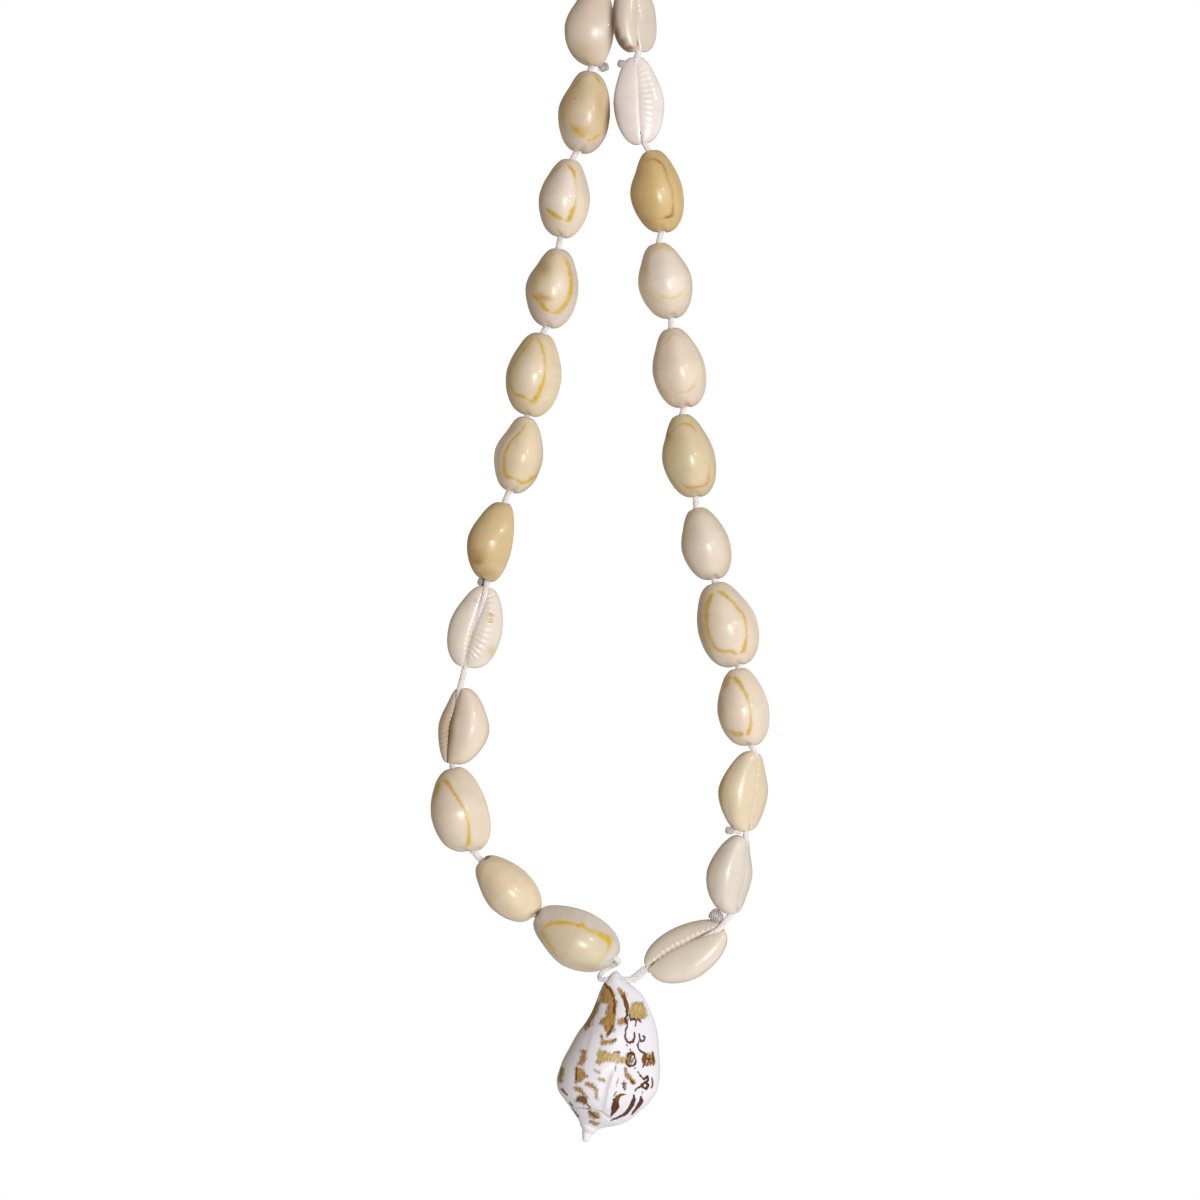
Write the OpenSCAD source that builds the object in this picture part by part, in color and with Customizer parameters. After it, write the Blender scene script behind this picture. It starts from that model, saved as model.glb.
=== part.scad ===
// Shell necklace: ring cowries on a braided cord, with one large patterned shell as the pendant.
// X is to the right, Z is up and -Y is the side that faces the viewer.
// The origin is the point that it hangs from, at the underside of the cord's arch. Sizes are in millimetres.

/* [Cowries] */
// Height of a cowrie's dome above its margin, as a share of its width
dome_share = 0.55; // [0.45:0.01:0.62]
// Depth of a cowrie's base below its margin, as a share of its width
base_share = 0.18; // [0.15:0.01:0.22]
// Width of the slit along a cowrie's base
slit_w = 0.9; // [0.5:0.1:1.4]
// How much fuller the lower end is than the upper end, as a share
egg_share = 0.09; // [0:0.01:0.14]

/* [Cord] */
// Diameter of the cord
thread_d = 1.8; // [1.2:0.1:1.9]
// Diameter of the bore that the cord runs in
bore_d = 2.3; // [2.1:0.1:2.6]
// Diameter of the notch at each end of a cowrie, where the cord comes out of its bore
notch_d = 3.2; // [2.8:0.1:3.6]
// Radius of the bare arch that goes over a hook, at the middle of the cord
arch_r = 8.2; // [7.8:0.1:8.6]

/* [Pendant] */
// Angle of the pendant's length from the vertical
pendant_tilt = -14.8; // [-16:0.1:-13]
// Thickness of the pendant, as a share of the thickness it has here
pendant_thick = 1; // [0.9:0.01:1.1]
// Depth of the hollow of its mouth, as a share of its own radius
mouth_depth = 0.5; // [0.2:0.05:0.6]
// Diameter of the hole that it hangs by
hole_d = 2.4; // [2.2:0.1:2.6]

/* [Hidden] */
// Columns of the two tables of cowries, from the top down: the middle of the shell as it is seen from the
// front, the lean of its length from the vertical, the turn of its dome about that length from the viewer
// towards the right, its length and its width
X = 0;
Z = 1;
LEAN = 2;
TURN = 3;
LENGTH = 4;
WIDTH = 5;
LEFT = [
    [-8.3, -29.0, 1, -15, 24.2, 15.8],
    [-7.9, -54.6, 3, -40, 24.2, 15.6],
    [-7.3, -80.1, -3, -50, 23.8, 16.2],
    [-8.2, -105.6, -7, 15, 24.6, 15.8],
    [-14.3, -131.5, -7, -12, 23.6, 15.6],
    [-17.9, -158.4, -8, -4, 23.8, 15.8],
    [-23.4, -184.3, -9, -12, 25.0, 16.8],
    [-27.8, -208.4, -12, 15, 23.0, 14.8],
    [-36.7, -234.2, -12, -40, 23.8, 15.0],
    [-40.8, -260.1, -15, 180, 24.8, 16.0],
    [-43.9, -290.1, -8, 130, 23.4, 17.4],
    [-46.1, -315.1, 12, -24, 25.4, 18.2],
    [-31.4, -338.6, 44, -8, 23.0, 15.2],
    [-11.1, -353.6, 62, -20, 27.0, 18.6],
];
RIGHT = [
    [8.3, -25.0, 0, -8, 24.2, 15.6],
    [8.2, -50.4, 0, 10, 24.2, 15.8],
    [6.9, -75.6, 2, -155, 23.8, 13.8],
    [8.0, -102.2, 5, 180, 26.2, 15.2],
    [13.3, -129.5, 8, -5, 24.8, 15.8],
    [15.8, -156.3, 11, 5, 23.0, 16.2],
    [19.9, -182.4, 11, 0, 24.2, 15.8],
    [22.8, -208.8, 11, 0, 25.2, 15.8],
    [27.9, -235.2, 15, 0, 22.0, 14.6],
    [34.4, -259.3, 17, -6, 25.8, 18.0],
    [39.1, -284.2, 9, -15, 23.4, 15.6],
    [39.2, -309.2, -7, -140, 24.2, 16.6],
    [35.0, -334.0, -9, -125, 24.0, 16.2],
    [22.9, -358.0, -61, 150, 25.8, 17.2],
];

// Sections along a cowrie, from its upper end to its lower end, as shares of half its length
STATIONS = [-1, -0.9, -0.7, -0.42, -0.1, 0.22, 0.52, 0.77, 0.93, 1];
// Points round a section of a cowrie
COWRIE_SIDES = 16;
// How far the last sections stop short of a point, as a share of half the length
BLUNT = 0.97;
// How far the tips stand beyond the last sections
TIP = 0.25;
// How deep the bore lies below the margin, and how far the notches at its ends reach in
BORE_DEPTH = 1.2;
NOTCH_LEN = 1.8;

// Columns of the pendant's sections, from its upper end down: distance along its length, reach to the
// left, reach to the right, reach towards the viewer and reach away
ALONG = 0;
REACH_L = 1;
REACH_R = 2;
FRONT = 3;
BACK = 4;
PENDANT = [
    [0.4, -6.2, -4.4, 1.0, 1.0],
    [1.4, -6.9, -3.4, 1.9, 1.9],
    [2.8, -7.6, -0.5, 2.8, 2.8],
    [4.6, -8.2, 3.2, 3.4, 3.4],
    [6.6, -8.7, 5.4, 4.4, 4.4],
    [9.5, -9.0, 7.8, 6.0, 5.8],
    [13, -9.4, 10.2, 7.6, 7.4],
    [17, -10.4, 12.0, 9.0, 8.8],
    [21, -12.0, 13.3, 10.2, 10.0],
    [26, -13.3, 14.9, 11.2, 11.0],
    [31, -14.4, 15.5, 11.4, 11.4],
    [35.5, -14.6, 14.2, 10.8, 10.8],
    [39, -13.4, 12.0, 9.6, 9.6],
    [41.5, -10.6, 10.4, 8.2, 8.2],
    [44, -7.6, 8.0, 6.2, 6.2],
    [45.6, -5.9, 5.0, 4.4, 4.4],
    [47.2, -4.4, 1.8, 3.0, 3.0],
    [49.2, -3.2, 0.3, 1.7, 1.7],
    [51, -2.7, -0.4, 1.2, 1.2],
];
PENDANT_SIDES = 20;
// Upper end of the pendant's length and its lowest point
PENDANT_TOP = [6.7, 1.2, -364.7];
PENDANT_LEN = 52.2;
TIP_SIDE = -1.4;
// Stretch along the pendant that its mouth takes up, and its middle and half width as angles round it
MOUTH = [8, 39];
MOUTH_ANGLE = 315;
MOUTH_SPREAD = 40;
// How much thinner the pendant is towards its lip
LIP_THIN = 0.2;
// Middle of the hole that the pendant hangs by
PIVOT = [1.8, 0.8, -366];
// How far the straight stretch of cord in that hole reaches to each side of its middle
PIN_REACH = 4.2;

// The cord from the lowest shell of each side to the pendant's hole
LEFT_END = [
    [2.0, 1.2, -360.3],
    [1.3, 3.6, -361.2],
    [-1.0, 4.9, -362.2],
    [-3.2, 4.2, -363.8],
    [-4.2, 2.5, -365.2],
    [-3.8, 1.0, -366],
    [-2.8, 0.8, -366],
];
RIGHT_END = [
    [9.6, 0.2, -363.6],
    [8.4, 0.6, -365.2],
    [7.3, 0.8, -365.9],
    [6.4, 0.8, -366],
];
// Straight stretch below each foot of the arch, and the seam where the strands' cord begins
LEG = 4;
SEAM = 0.3;
// Points round the cord
THREAD_SIDES = 8;
// How far along a shell its stretch of the cord stays straight, as a share of half the length
STRAIGHT = 0.9;

// Columns of the knots: the end of the loop beside the cord and the middle of the knot itself, both as seen
// from the front, their distance from the viewer and the knot's radius
KNOTS = [
    [[-4.2, -92.7], [-2.4, -92.1], 0.6, 1.3],
    [[5.4, -88.6], [2.9, -91.2], -0.8, 1.15],
    [[-37.8, -247.0], [-39.0, -246.6], 1.6, 1.2],
    [[38.8, -321.7], [35.3, -321.1], -1.2, 1.1],
    [[31.6, -346.8], [30.6, -346.2], 0.4, 1.7],
];
// Radius of the loop that joins a knot to the cord
LOOP_R = 0.5;

// Name of a numbered piece
function numbered(name, i) = str(name, i < 10 ? "0" : "", i);

SHELL_NUMBERS = [for (i = [1:len(LEFT)]) i];

// Directions along a shell that leans, across it and out of its dome
function along(lean) = [sin(lean), 0, -cos(lean)];
function across(lean) = [cos(lean), 0, sin(lean)];
function out(lean, turn) = sin(turn) * across(lean) - cos(turn) * [0, 1, 0];

// How far a shell's outline stands out on the side of its dome, or of its base, as seen from the front
function reach(row, share) = row[WIDTH] * norm([cos(row[TURN]) / 2, sin(row[TURN]) * share]);
// Middle of a shell's margin: its outline is seen at its own place, and its bore lies in the plane y = 0
function middle(row) =
    [row[X], -BORE_DEPTH * cos(row[TURN]), row[Z]]
    - across(row[LEAN]) * sign(sin(row[TURN])) * (reach(row, dome_share) - reach(row, base_share)) / 2;
// Point in a shell's bore, from -1 at its upper end to 1 at its lower end
function bore_point(row, s) =
    middle(row) - BORE_DEPTH * out(row[LEAN], row[TURN]) + s * row[LENGTH] / 2 * along(row[LEAN]);

// Closed solid through sections of equal numbers of points, with a tip before the first and after the last
module loft(sections, first, last) {
    n = len(sections[0]);
    m = len(sections);
    walls = [
        for (j = [0:m - 2], i = [0:n - 1], half = [0, 1])
            let (a = j * n + i, b = j * n + (i + 1) % n)
            half == 0 ? [a, b, b + n] : [a, b + n, a + n]
    ];
    ends = [
        for (i = [0:n - 1], half = [0, 1])
            half == 0
                ? [m * n, (i + 1) % n, i]
                : [m * n + 1, (m - 1) * n + i, (m - 1) * n + (i + 1) % n]
    ];
    polyhedron([each [for (s = sections) each s], first, last], concat(walls, ends));
}

// Fullness of a cowrie at a station: narrow and blunt at both ends, and fuller towards the lower end
function fullness(s, power) = pow(1 - pow(BLUNT * s, 2), power) * (1 + egg_share * s);

// Section of a cowrie that stands upright with its dome towards the viewer
function cowrie_section(row, s) = [
    for (i = [0:COWRIE_SIDES - 1])
        let (a = 360 * i / COWRIE_SIDES, half_w = row[WIDTH] / 2 * fullness(s, 0.5))
        [
            half_w * cos(a),
            sin(a) >= 0
                ? -row[WIDTH] * dome_share * fullness(s, 0.6) * sin(a)
                : row[WIDTH] * base_share * fullness(s, 0.4) * pow(-sin(a), 0.6),
            -s * (row[LENGTH] / 2 - TIP),
        ]
];

module cowrie(row) {
    half = row[LENGTH] / 2;
    color("antiquewhite")
    translate(middle(row))
    rotate([0, -row[LEAN], 0])
    rotate([0, 0, row[TURN]])
    difference() {
        loft([for (s = STATIONS) cowrie_section(row, s)], [0, 0, half], [0, 0, -half]);
        translate([0, BORE_DEPTH, 0])
        cylinder(h = row[LENGTH] + 2, d = bore_d, center = true, $fn = 24);
        for (end = [-1, 1])
            translate([0, BORE_DEPTH, end * half])
            cylinder(h = 2 * NOTCH_LEN, d = notch_d, center = true, $fn = 24);
        translate([-slit_w / 2, BORE_DEPTH, -half - 1])
        cube([slit_w, row[WIDTH], row[LENGTH] + 2]);
    }
}

// Ring of points round a point of the cord
function thread_ring(p, ahead) =
    let (side = cross(ahead, [0, 1, 0]) / norm(cross(ahead, [0, 1, 0])), up = cross(side, ahead))
    [for (i = [0:THREAD_SIDES - 1])
        let (a = 360 * (i + 0.5) / THREAD_SIDES)
        p + thread_d / 2 * (cos(a) * side + sin(a) * up)];
function unit(v) = v / norm(v);
// Direction of the cord at a point of its route
function ahead(route, i) =
    i == 0 ? unit(route[1] - route[0])
    : i == len(route) - 1 ? unit(route[i] - route[i - 1])
    : unit(unit(route[i + 1] - route[i]) + unit(route[i] - route[i - 1]));

module thread(route) {
    last = len(route) - 1;
    color("whitesmoke")
    loft([for (i = [0:last]) thread_ring(route[i], ahead(route, i))], route[0], route[last]);
}

// Route of the cord from the arch down through one side's shells and on to the pendant
function strand_route(side, rows, end) = concat(
    [[side * arch_r, 0, thread_d / 2 - arch_r - LEG]],
    [for (row = rows, s = [-STRAIGHT, STRAIGHT]) bore_point(row, s)],
    end
);

module thread_hanger() {
    color("whitesmoke") {
        translate([0, 0, thread_d / 2 - arch_r])
        rotate([90, 0, 0])
        rotate_extrude(angle = 180, $fn = 48)
        translate([arch_r, 0])
        circle(d = thread_d, $fn = 24);
        for (side = [-1, 1])
            translate([side * arch_r, 0, thread_d / 2 - arch_r - LEG + SEAM])
            cylinder(h = LEG - SEAM, d = thread_d, $fn = 24);
    }
}

module thread_pendant() {
    color("whitesmoke")
    translate(PIVOT)
    rotate([0, 90, 0])
    cylinder(h = 2 * PIN_REACH, d = thread_d, center = true, $fn = 24);
}

// A knot beside the cord, on its short loop
module knot(row) {
    span = row[1] - row[0];
    color("lightgray")
    translate([row[0][0], row[2], row[0][1]])
    rotate([0, 90 - atan2(span[1], span[0]), 0]) {
        cylinder(h = norm(span), r = LOOP_R, $fn = 24);
        translate([0, 0, norm(span)])
        sphere(r = row[3], $fn = 24);
    }
}

// How far the mouth's hollow reaches in, at a distance along the pendant and an angle round it
function hollow(t, a) =
    mouth_depth
    * (t > MOUTH[0] && t < MOUTH[1] ? sin(180 * (t - MOUTH[0]) / (MOUTH[1] - MOUTH[0])) : 0)
    * max(0, cos((a - MOUTH_ANGLE) * 90 / MOUTH_SPREAD) * (abs(a - MOUTH_ANGLE) < MOUTH_SPREAD ? 1 : 0));

// Section of the pendant that stands upright with its spire down, thinner towards its lip on the right
function pendant_section(row) = [
    for (i = [0:PENDANT_SIDES - 1])
        let (
            a = 360 * i / PENDANT_SIDES,
            k = 1 - hollow(row[ALONG], a),
            depth = pendant_thick * (sin(a) > 0 ? row[FRONT] : row[BACK]) * (1 - LIP_THIN * cos(a))
        )
        [
            (row[REACH_L] + row[REACH_R]) / 2 + k * cos(a) * (row[REACH_R] - row[REACH_L]) / 2,
            -k * sin(a) * depth,
            -row[ALONG],
        ]
];

module pendant() {
    color("linen")
    difference() {
        translate(PENDANT_TOP)
        rotate([0, -pendant_tilt, 0])
        loft(
            [for (row = PENDANT) pendant_section(row)],
            [(PENDANT[0][REACH_L] + PENDANT[0][REACH_R]) / 2, 0, 0],
            [TIP_SIDE, 0, -PENDANT_LEN]
        );
        translate(PIVOT)
        rotate([0, 90, 0])
        cylinder(h = 4 * PIN_REACH, d = hole_d, center = true, $fn = 24);
    }
}

for (i = SHELL_NUMBERS) {
    cowrie(LEFT[i - 1]);
    cowrie(RIGHT[i - 1]);
}
for (i = [1:len(KNOTS)]) {
    knot(KNOTS[i - 1]);
}
thread_hanger();
thread(strand_route(-1, LEFT, LEFT_END));  // thread_left
thread(strand_route(1, RIGHT, RIGHT_END));  // thread_right
thread_pendant();
pendant();
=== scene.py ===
"""Shell necklace: glossy ring cowries on a white braided cord, with a large patterned shell as the pendant."""
import math

import bpy
import numpy as np
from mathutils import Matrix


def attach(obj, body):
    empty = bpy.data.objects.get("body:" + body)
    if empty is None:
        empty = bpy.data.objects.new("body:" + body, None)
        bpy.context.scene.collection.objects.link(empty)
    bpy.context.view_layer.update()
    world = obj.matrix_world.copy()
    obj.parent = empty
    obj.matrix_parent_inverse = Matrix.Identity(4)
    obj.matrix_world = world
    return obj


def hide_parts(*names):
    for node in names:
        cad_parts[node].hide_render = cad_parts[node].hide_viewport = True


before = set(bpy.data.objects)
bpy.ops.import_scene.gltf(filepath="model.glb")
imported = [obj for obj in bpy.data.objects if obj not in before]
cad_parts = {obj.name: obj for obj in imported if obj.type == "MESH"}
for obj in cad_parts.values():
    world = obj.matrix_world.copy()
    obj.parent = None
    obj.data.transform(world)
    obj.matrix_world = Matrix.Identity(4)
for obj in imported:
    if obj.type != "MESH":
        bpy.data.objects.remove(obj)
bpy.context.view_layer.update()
MM = 0.001

# ---------------------------------------------------------------- camera
VIEW_WIDTH, VIEW_DISTANCE, VIEW_MIDDLE = 0.360, 1.5, (-0.0036, -0.252)
eye = bpy.data.cameras.new("eye")
eye.sensor_width = 36
eye.lens = eye.sensor_width * VIEW_DISTANCE / VIEW_WIDTH
eye.clip_end = 20
camera = bpy.data.objects.new("eye", eye)
camera.location = (VIEW_MIDDLE[0], -VIEW_DISTANCE, VIEW_MIDDLE[1])
camera.rotation_euler = (math.radians(90), 0, 0)
bpy.context.scene.collection.objects.link(camera)
bpy.context.scene.camera = camera

# ---------------------------------------------------------------- tones
# Tones in sRGB, from 0 to 255
TONES = {
    "pale": (237, 227, 217), "cream": (233, 220, 204), "ivory": (228, 213, 186), "tan": (222, 199, 158),
    "ochre": (217, 191, 137), "straw": (226, 204, 152), "lilac": (226, 216, 209), "white": (240, 232, 226),
    "yellow": (206, 172, 30), "amber": (200, 152, 58), "gold": (206, 172, 84), "sand": (196, 160, 96),
    "brown": (128, 84, 46), "umber": (82, 36, 6), "tawny": (158, 114, 42), "grey": (186, 176, 166),
    # the knot tones are the yarn made darker: painted shade for knots that lie in shadow
    "rust": (150, 104, 50), "yarn": (247, 246, 249), "yarn_grey": (218, 213, 218), "knot_shade_pale": (214, 210, 214),
    "knot_shade_grey": (166, 158, 162), "porcelain": (235, 236, 247), "mist": (221, 221, 234), "bark": (116, 74, 18),
    "honey": (158, 120, 34), "wheat": (172, 146, 78), "taupe": (184, 172, 168),
}


def tone(name):
    """A named tone in linear red, green and blue."""
    rgb = np.array(TONES[name]) / 255
    return np.where(rgb < 0.04045, rgb / 12.92, ((rgb + 0.055) / 1.055) ** 2.4)


# ---------------------------------------------------------------- cowries
X, Z, LEAN, TURN, LENGTH, WIDTH = range(6)
# Middle of the shell as seen from the front in mm, lean of its length and turn of its dome towards the right in
# degrees, length and width in mm, in the shells' order from the top, as in the part's source
LEFT = [
    [-8.3, -29.0, 1, -15, 24.2, 15.8],
    [-7.9, -54.6, 3, -40, 24.2, 15.6],
    [-7.3, -80.1, -3, -50, 23.8, 16.2],
    [-8.2, -105.6, -7, 15, 24.6, 15.8],
    [-14.3, -131.5, -7, -12, 23.6, 15.6],
    [-17.9, -158.4, -8, -4, 23.8, 15.8],
    [-23.4, -184.3, -9, -12, 25.0, 16.8],
    [-27.8, -208.4, -12, 15, 23.0, 14.8],
    [-36.7, -234.2, -12, -40, 23.8, 15.0],
    [-40.8, -260.1, -15, 180, 24.8, 16.0],
    [-43.9, -290.1, -8, 130, 23.4, 17.4],
    [-46.1, -315.1, 12, -24, 25.4, 18.2],
    [-31.4, -338.6, 44, -8, 23.0, 15.2],
    [-11.1, -353.6, 62, -20, 27.0, 18.6],
]
RIGHT = [
    [8.3, -25.0, 0, -8, 24.2, 15.6],
    [8.2, -50.4, 0, 10, 24.2, 15.8],
    [6.9, -75.6, 2, -155, 23.8, 13.8],
    [8.0, -102.2, 5, 180, 26.2, 15.2],
    [13.3, -129.5, 8, -5, 24.8, 15.8],
    [15.8, -156.3, 11, 5, 23.0, 16.2],
    [19.9, -182.4, 11, 0, 24.2, 15.8],
    [22.8, -208.8, 11, 0, 25.2, 15.8],
    [27.9, -235.2, 15, 0, 22.0, 14.6],
    [34.4, -259.3, 17, -6, 25.8, 18.0],
    [39.1, -284.2, 9, -15, 23.4, 15.6],
    [39.2, -309.2, -7, -140, 24.2, 16.6],
    [35.0, -334.0, -9, -125, 24.0, 16.2],
    [22.9, -358.0, -61, 150, 25.8, 17.2],
]
# Height of the dome and of the base as shares of the width, and the bore's depth behind the widest line and radius
DOME, BASE, BORE_DEPTH, BORE_R = 0.55, 0.18, 1.2, 1.15
# Stations along a cowrie, and steps over half its base, over its dome, round its bore and down a wall of its slit
STATIONS, BASE_STEPS, DOME_STEPS, BORE_STEPS, WALL_STEPS = 100, 17, 34, 12, 2

# Ring on a cowrie's dome as it is seen from the front: tones of the dome inside it, of the margin outside it and of
# the stroke, then points in mm across and down the shell from its middle, with the stroke's width at each
PLAIN_RING = ((0, -8.8, 0), (3.6, -6, 0), (4.9, 0, 0), (4, 6, 0), (0, 8.8, 0), (-4, 6, 0), (-4.9, 0, 0),
              (-3.6, -6, 0))
RINGS = {
    "left_04": ("ivory", "lilac", "yellow", (
        (-1, -10.4, 0.3), (-2.8, -8.8, 0.6), (-4.4, -5.9, 0.5), (-5.2, -2.2, 0.2), (-5, 1, 0.2), (-4.3, 3.7, 0.3),
        (-3, 5.5, 0.8), (-1.3, 6.7, 1.3), (0.5, 7.8, 1.4), (1.4, 8.5, 0.2), (2.5, 8.8, 0.9), (4.2, 7.8, 0.6),
        (5.8, 6, 0.4), (6.8, 3.5, 0.3), (6.8, -0.5, 0.2), (5.8, -5.1, 0.2), (4.5, -7.8, 0.4), (1.9, -10.7, 0.6),
        (0.5, -11.2, 0))),
    "left_05": ("pale", "cream", "yellow", (
        (-0.9, -9.9, 0), (-1.9, -9.1, 0.5), (-3.3, -7.8, 0.5), (-4.5, -6.3, 0.3), (-5.5, -2.8, 0), (-5.5, 1.2, 0),
        (-4.8, 3.9, 0.3), (-4.1, 4.7, 0.9), (-2.8, 5.6, 1.3), (-0.8, 6.5, 1.3), (0.7, 6.9, 0.2), (2.2, 6.8, 1.3),
        (2.7, 4.8, 1.5), (3.4, 2.5, 0.6), (3.6, 0.1, 0.3), (3.3, -3.1, 0.2), (2.5, -6.2, 0.5), (1.6, -8, 1.1),
        (0.2, -9.4, 0.5))),
    "left_06": ("ivory", "lilac", "yellow", (
        (0, -10.4, 0.2), (-1.6, -9.5, 0.5), (-3.1, -7.9, 0.3), (-5.5, -4.1, 0.1), (-6.4, 0, 0.2), (-6.1, 2.1, 0.3),
        (-4.8, 3.7, 0.7), (-2.8, 5.2, 1.1), (-1.3, 6.9, 1.3), (0.6, 7.6, 0.4), (2.3, 7.5, 1.1), (3.8, 6, 1.5),
        (5.2, 3.2, 1.3), (5.7, 0.2, 1.2), (5.4, -2.6, 1.1), (4.4, -5.9, 1.1), (3.4, -8, 0.8), (1.8, -9.8, 0.3))),
    "left_07": ("ivory", "ivory", "yellow", (
        (-1.2, -10.4, 0.1), (-2.4, -9.9, 0.5), (-3.2, -7.7, 0.9), (-4.6, -5.6, 0.5), (-6.2, -2, 0.4), (-6.9, 0.8, 0.4),
        (-6.5, 3.4, 0.4), (-5.8, 5.6, 0.6), (-4.3, 7.1, 0.6), (-2.1, 7.5, 0.7), (-0.5, 8.1, 0.4), (1.3, 8.2, 1.5),
        (2.4, 5.5, 1.5), (3.2, 2.3, 0.8), (3.3, -0.8, 0.5), (2.7, -3.8, 0.6), (1.6, -7.2, 0.6), (0.1, -9.9, 0.6))),
    "left_08": ("ivory", "cream", "yellow", (
        (0.7, -9.7, 0.2), (0, -8.9, 0.8), (-0.7, -7, 0.7), (-2.2, -4.8, 0.6), (-3.7, -1.9, 0.6), (-4.1, 1.1, 0.7),
        (-3.5, 4.9, 1), (-2.5, 6.9, 1.3), (-1.3, 7.5, 1), (0.4, 7.5, 0.5), (2.5, 8.2, 1), (4.3, 7.3, 0.9),
        (6.3, 5, 0.6), (6.7, 2.1, 0.1), (5.8, -2.2, 0.1), (3.9, -7.4, 0.1), (2.1, -9.5, 0.2))),
    "left_12": ("cream", "cream", "yellow", (
        (-2.5, -9.9, 0.3), (-3.7, -9.3, 0.6), (-5, -6.9, 1), (-6.5, -3.8, 0.3), (-7.9, -0.7, 0), (-8.3, 3.5, 0),
        (-6.6, 7.6, 0), (-2.9, 10.3, 0.2), (-0.1, 10.7, 0.3), (1, 10, 1.2), (1.6, 8.5, 1), (2.3, 5.7, 0.6),
        (2.3, 2.3, 0.6), (2, -0.7, 0.6), (0.9, -3.9, 0.7), (-0.5, -7.2, 0.9), (-1.4, -9.1, 1.4))),
    "left_14": ("ivory", "lilac", "yellow", (
        (-1.6, -10.5, 0.2), (-0.5, -9.7, 0.7), (1.1, -8.7, 1.3), (2.8, -6.3, 1.1), (4, -3.6, 1), (4.6, -1.1, 1),
        (5.4, -0.1, 0.9), (4.7, 1.3, 0.9), (4.9, 3.9, 1.3), (5, 6.6, 1.9), (4.9, 8.7, 2), (3.6, 9.8, 0.9),
        (2.2, 10, 0.5), (0.3, 9.9, 0.3), (-1, 10, 0.35), (-3.4, 9.2, 0.3), (-5.6, 8.3, 0.3), (-7, 6.5, 0.1),
        (-8, 3.2, 0), (-7.6, -0.3, 0.1), (-6.6, -2.7, 0.5), (-5.5, -4.7, 0.7), (-4.1, -7.3, 0.9), (-2.7, -9.6, 1))),
    "right_05": ("ochre", "ochre", "rust", (
        (-2.3, -8.6, 0.1), (-0.6, -9.3, 0.4), (1.7, -8.6, 0.5), (3, -6.6, 0.5), (3.5, -4.2, 0.4), (3.9, -1.7, 0.3),
        (4.5, 1.2, 0.3), (4.3, 4.7, 0.3), (3.8, 7.4, 0.5), (2.9, 8.4, 0.7), (0.8, 8.7, 0.4), (-1.1, 8.4, 0.1),
        (-4.4, 6.3, 0), (-6.2, 2.4, 0), (-5.9, -3.1, 0), (-4.1, -6.8, 0))),
    "right_06": ("pale", "cream", "straw", (
        (0.2, -9.5, 0.6), (2, -9, 0.7), (3.7, -7.3, 0), (5.3, -3.9, 0), (6.2, -0.2, 0), (5.5, 3.2, 0), (4.4, 4.5, 0.5),
        (3, 5.5, 0.8), (1.6, 6, 0.6), (0.3, 5.7, 0.7), (-1.7, 4.9, 0.6), (-3.2, 3.3, 0.2), (-4, 0.5, 0), (-3.6, -3, 0),
        (-2, -7.1, 0))),
    "right_07": ("cream", "cream", "sand", (
        (0.5, -10, 0.3), (-2, -8.5, 0.3), (-3.8, -5.8, 0), (-5.5, -0.8, 0), (-5.5, 3.6, 0), (-2.7, 6.8, 0.2),
        (0.6, 7.8, 0.3), (3, 6.7, 0.4), (4.4, 4.7, 0.3), (5.4, 1.3, 0), (5.4, -3.1, 0), (3.6, -7.4, 0))),
    "right_08": ("ivory", "ivory", "amber", (
        (-1.4, -9.2, 0.4), (1, -9.6, 0.6), (2.9, -8.1, 0.5), (4.1, -5.6, 0.1), (5.1, -0.4, 0), (5.4, 4.2, 0.1),
        (4.7, 7.4, 0.5), (3.7, 9.3, 0.6), (1.7, 9.8, 0.6), (-1.1, 9.6, 0.9), (-3.1, 8.4, 0.4), (-4.9, 6.1, 0.1),
        (-5.8, 2, 0), (-5.7, -2.5, 0), (-4.7, -6.8, 0.3))),
    "right_10": ("cream", "cream", "gold", (
        (-1.2, -10.1, 0.2), (-2.2, -9.6, 1.2), (-3.7, -7.7, 1.4), (-5, -5, 1.3), (-5.8, -2, 1), (-6.1, 1.1, 0.9),
        (-5.8, 3.9, 0.8), (-5, 6.2, 0.9), (-3.3, 7.4, 0.9), (-1.2, 7.9, 1), (-0.3, 8.8, 1.3), (0.7, 9.4, 0.1),
        (2.1, 9, 1.3), (2.9, 8, 1.3), (3.8, 6.4, 0.8), (4.7, 3.9, 0.6), (5.2, 1.3, 0.6), (5.5, -0.8, 0.6),
        (4.6, -3.4, 0.7), (3.2, -6.3, 0.8), (2, -8.5, 1.1), (0.8, -9.8, 1.1), (-0.3, -10.2, 0.2))),
    "right_11": ("cream", "cream", "gold", (
        (-1.8, -9.6, 0.3), (-2.7, -9.3, 1.4), (-3.4, -8.1, 1.3), (-4.8, -6, 0.1), (-6, -3.1, 0), (-6.7, 0.3, 0),
        (-6.4, 3.9, 0), (-5.2, 6, 0.3), (-4.4, 6.7, 1), (-3, 7.5, 1.7), (-1.9, 7.7, 1.6), (-0.8, 7.9, 0.1),
        (0.3, 7.7, 1.3), (1.1, 5.9, 1.1), (1.7, 4.3, 0.6), (1.9, 1.7, 0.5), (1.9, -1, 0.5), (1.6, -3.2, 0.7),
        (0.8, -5.5, 1.1), (0.1, -7.5, 1.4), (-0.8, -8.9, 1.1))),
}
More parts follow.
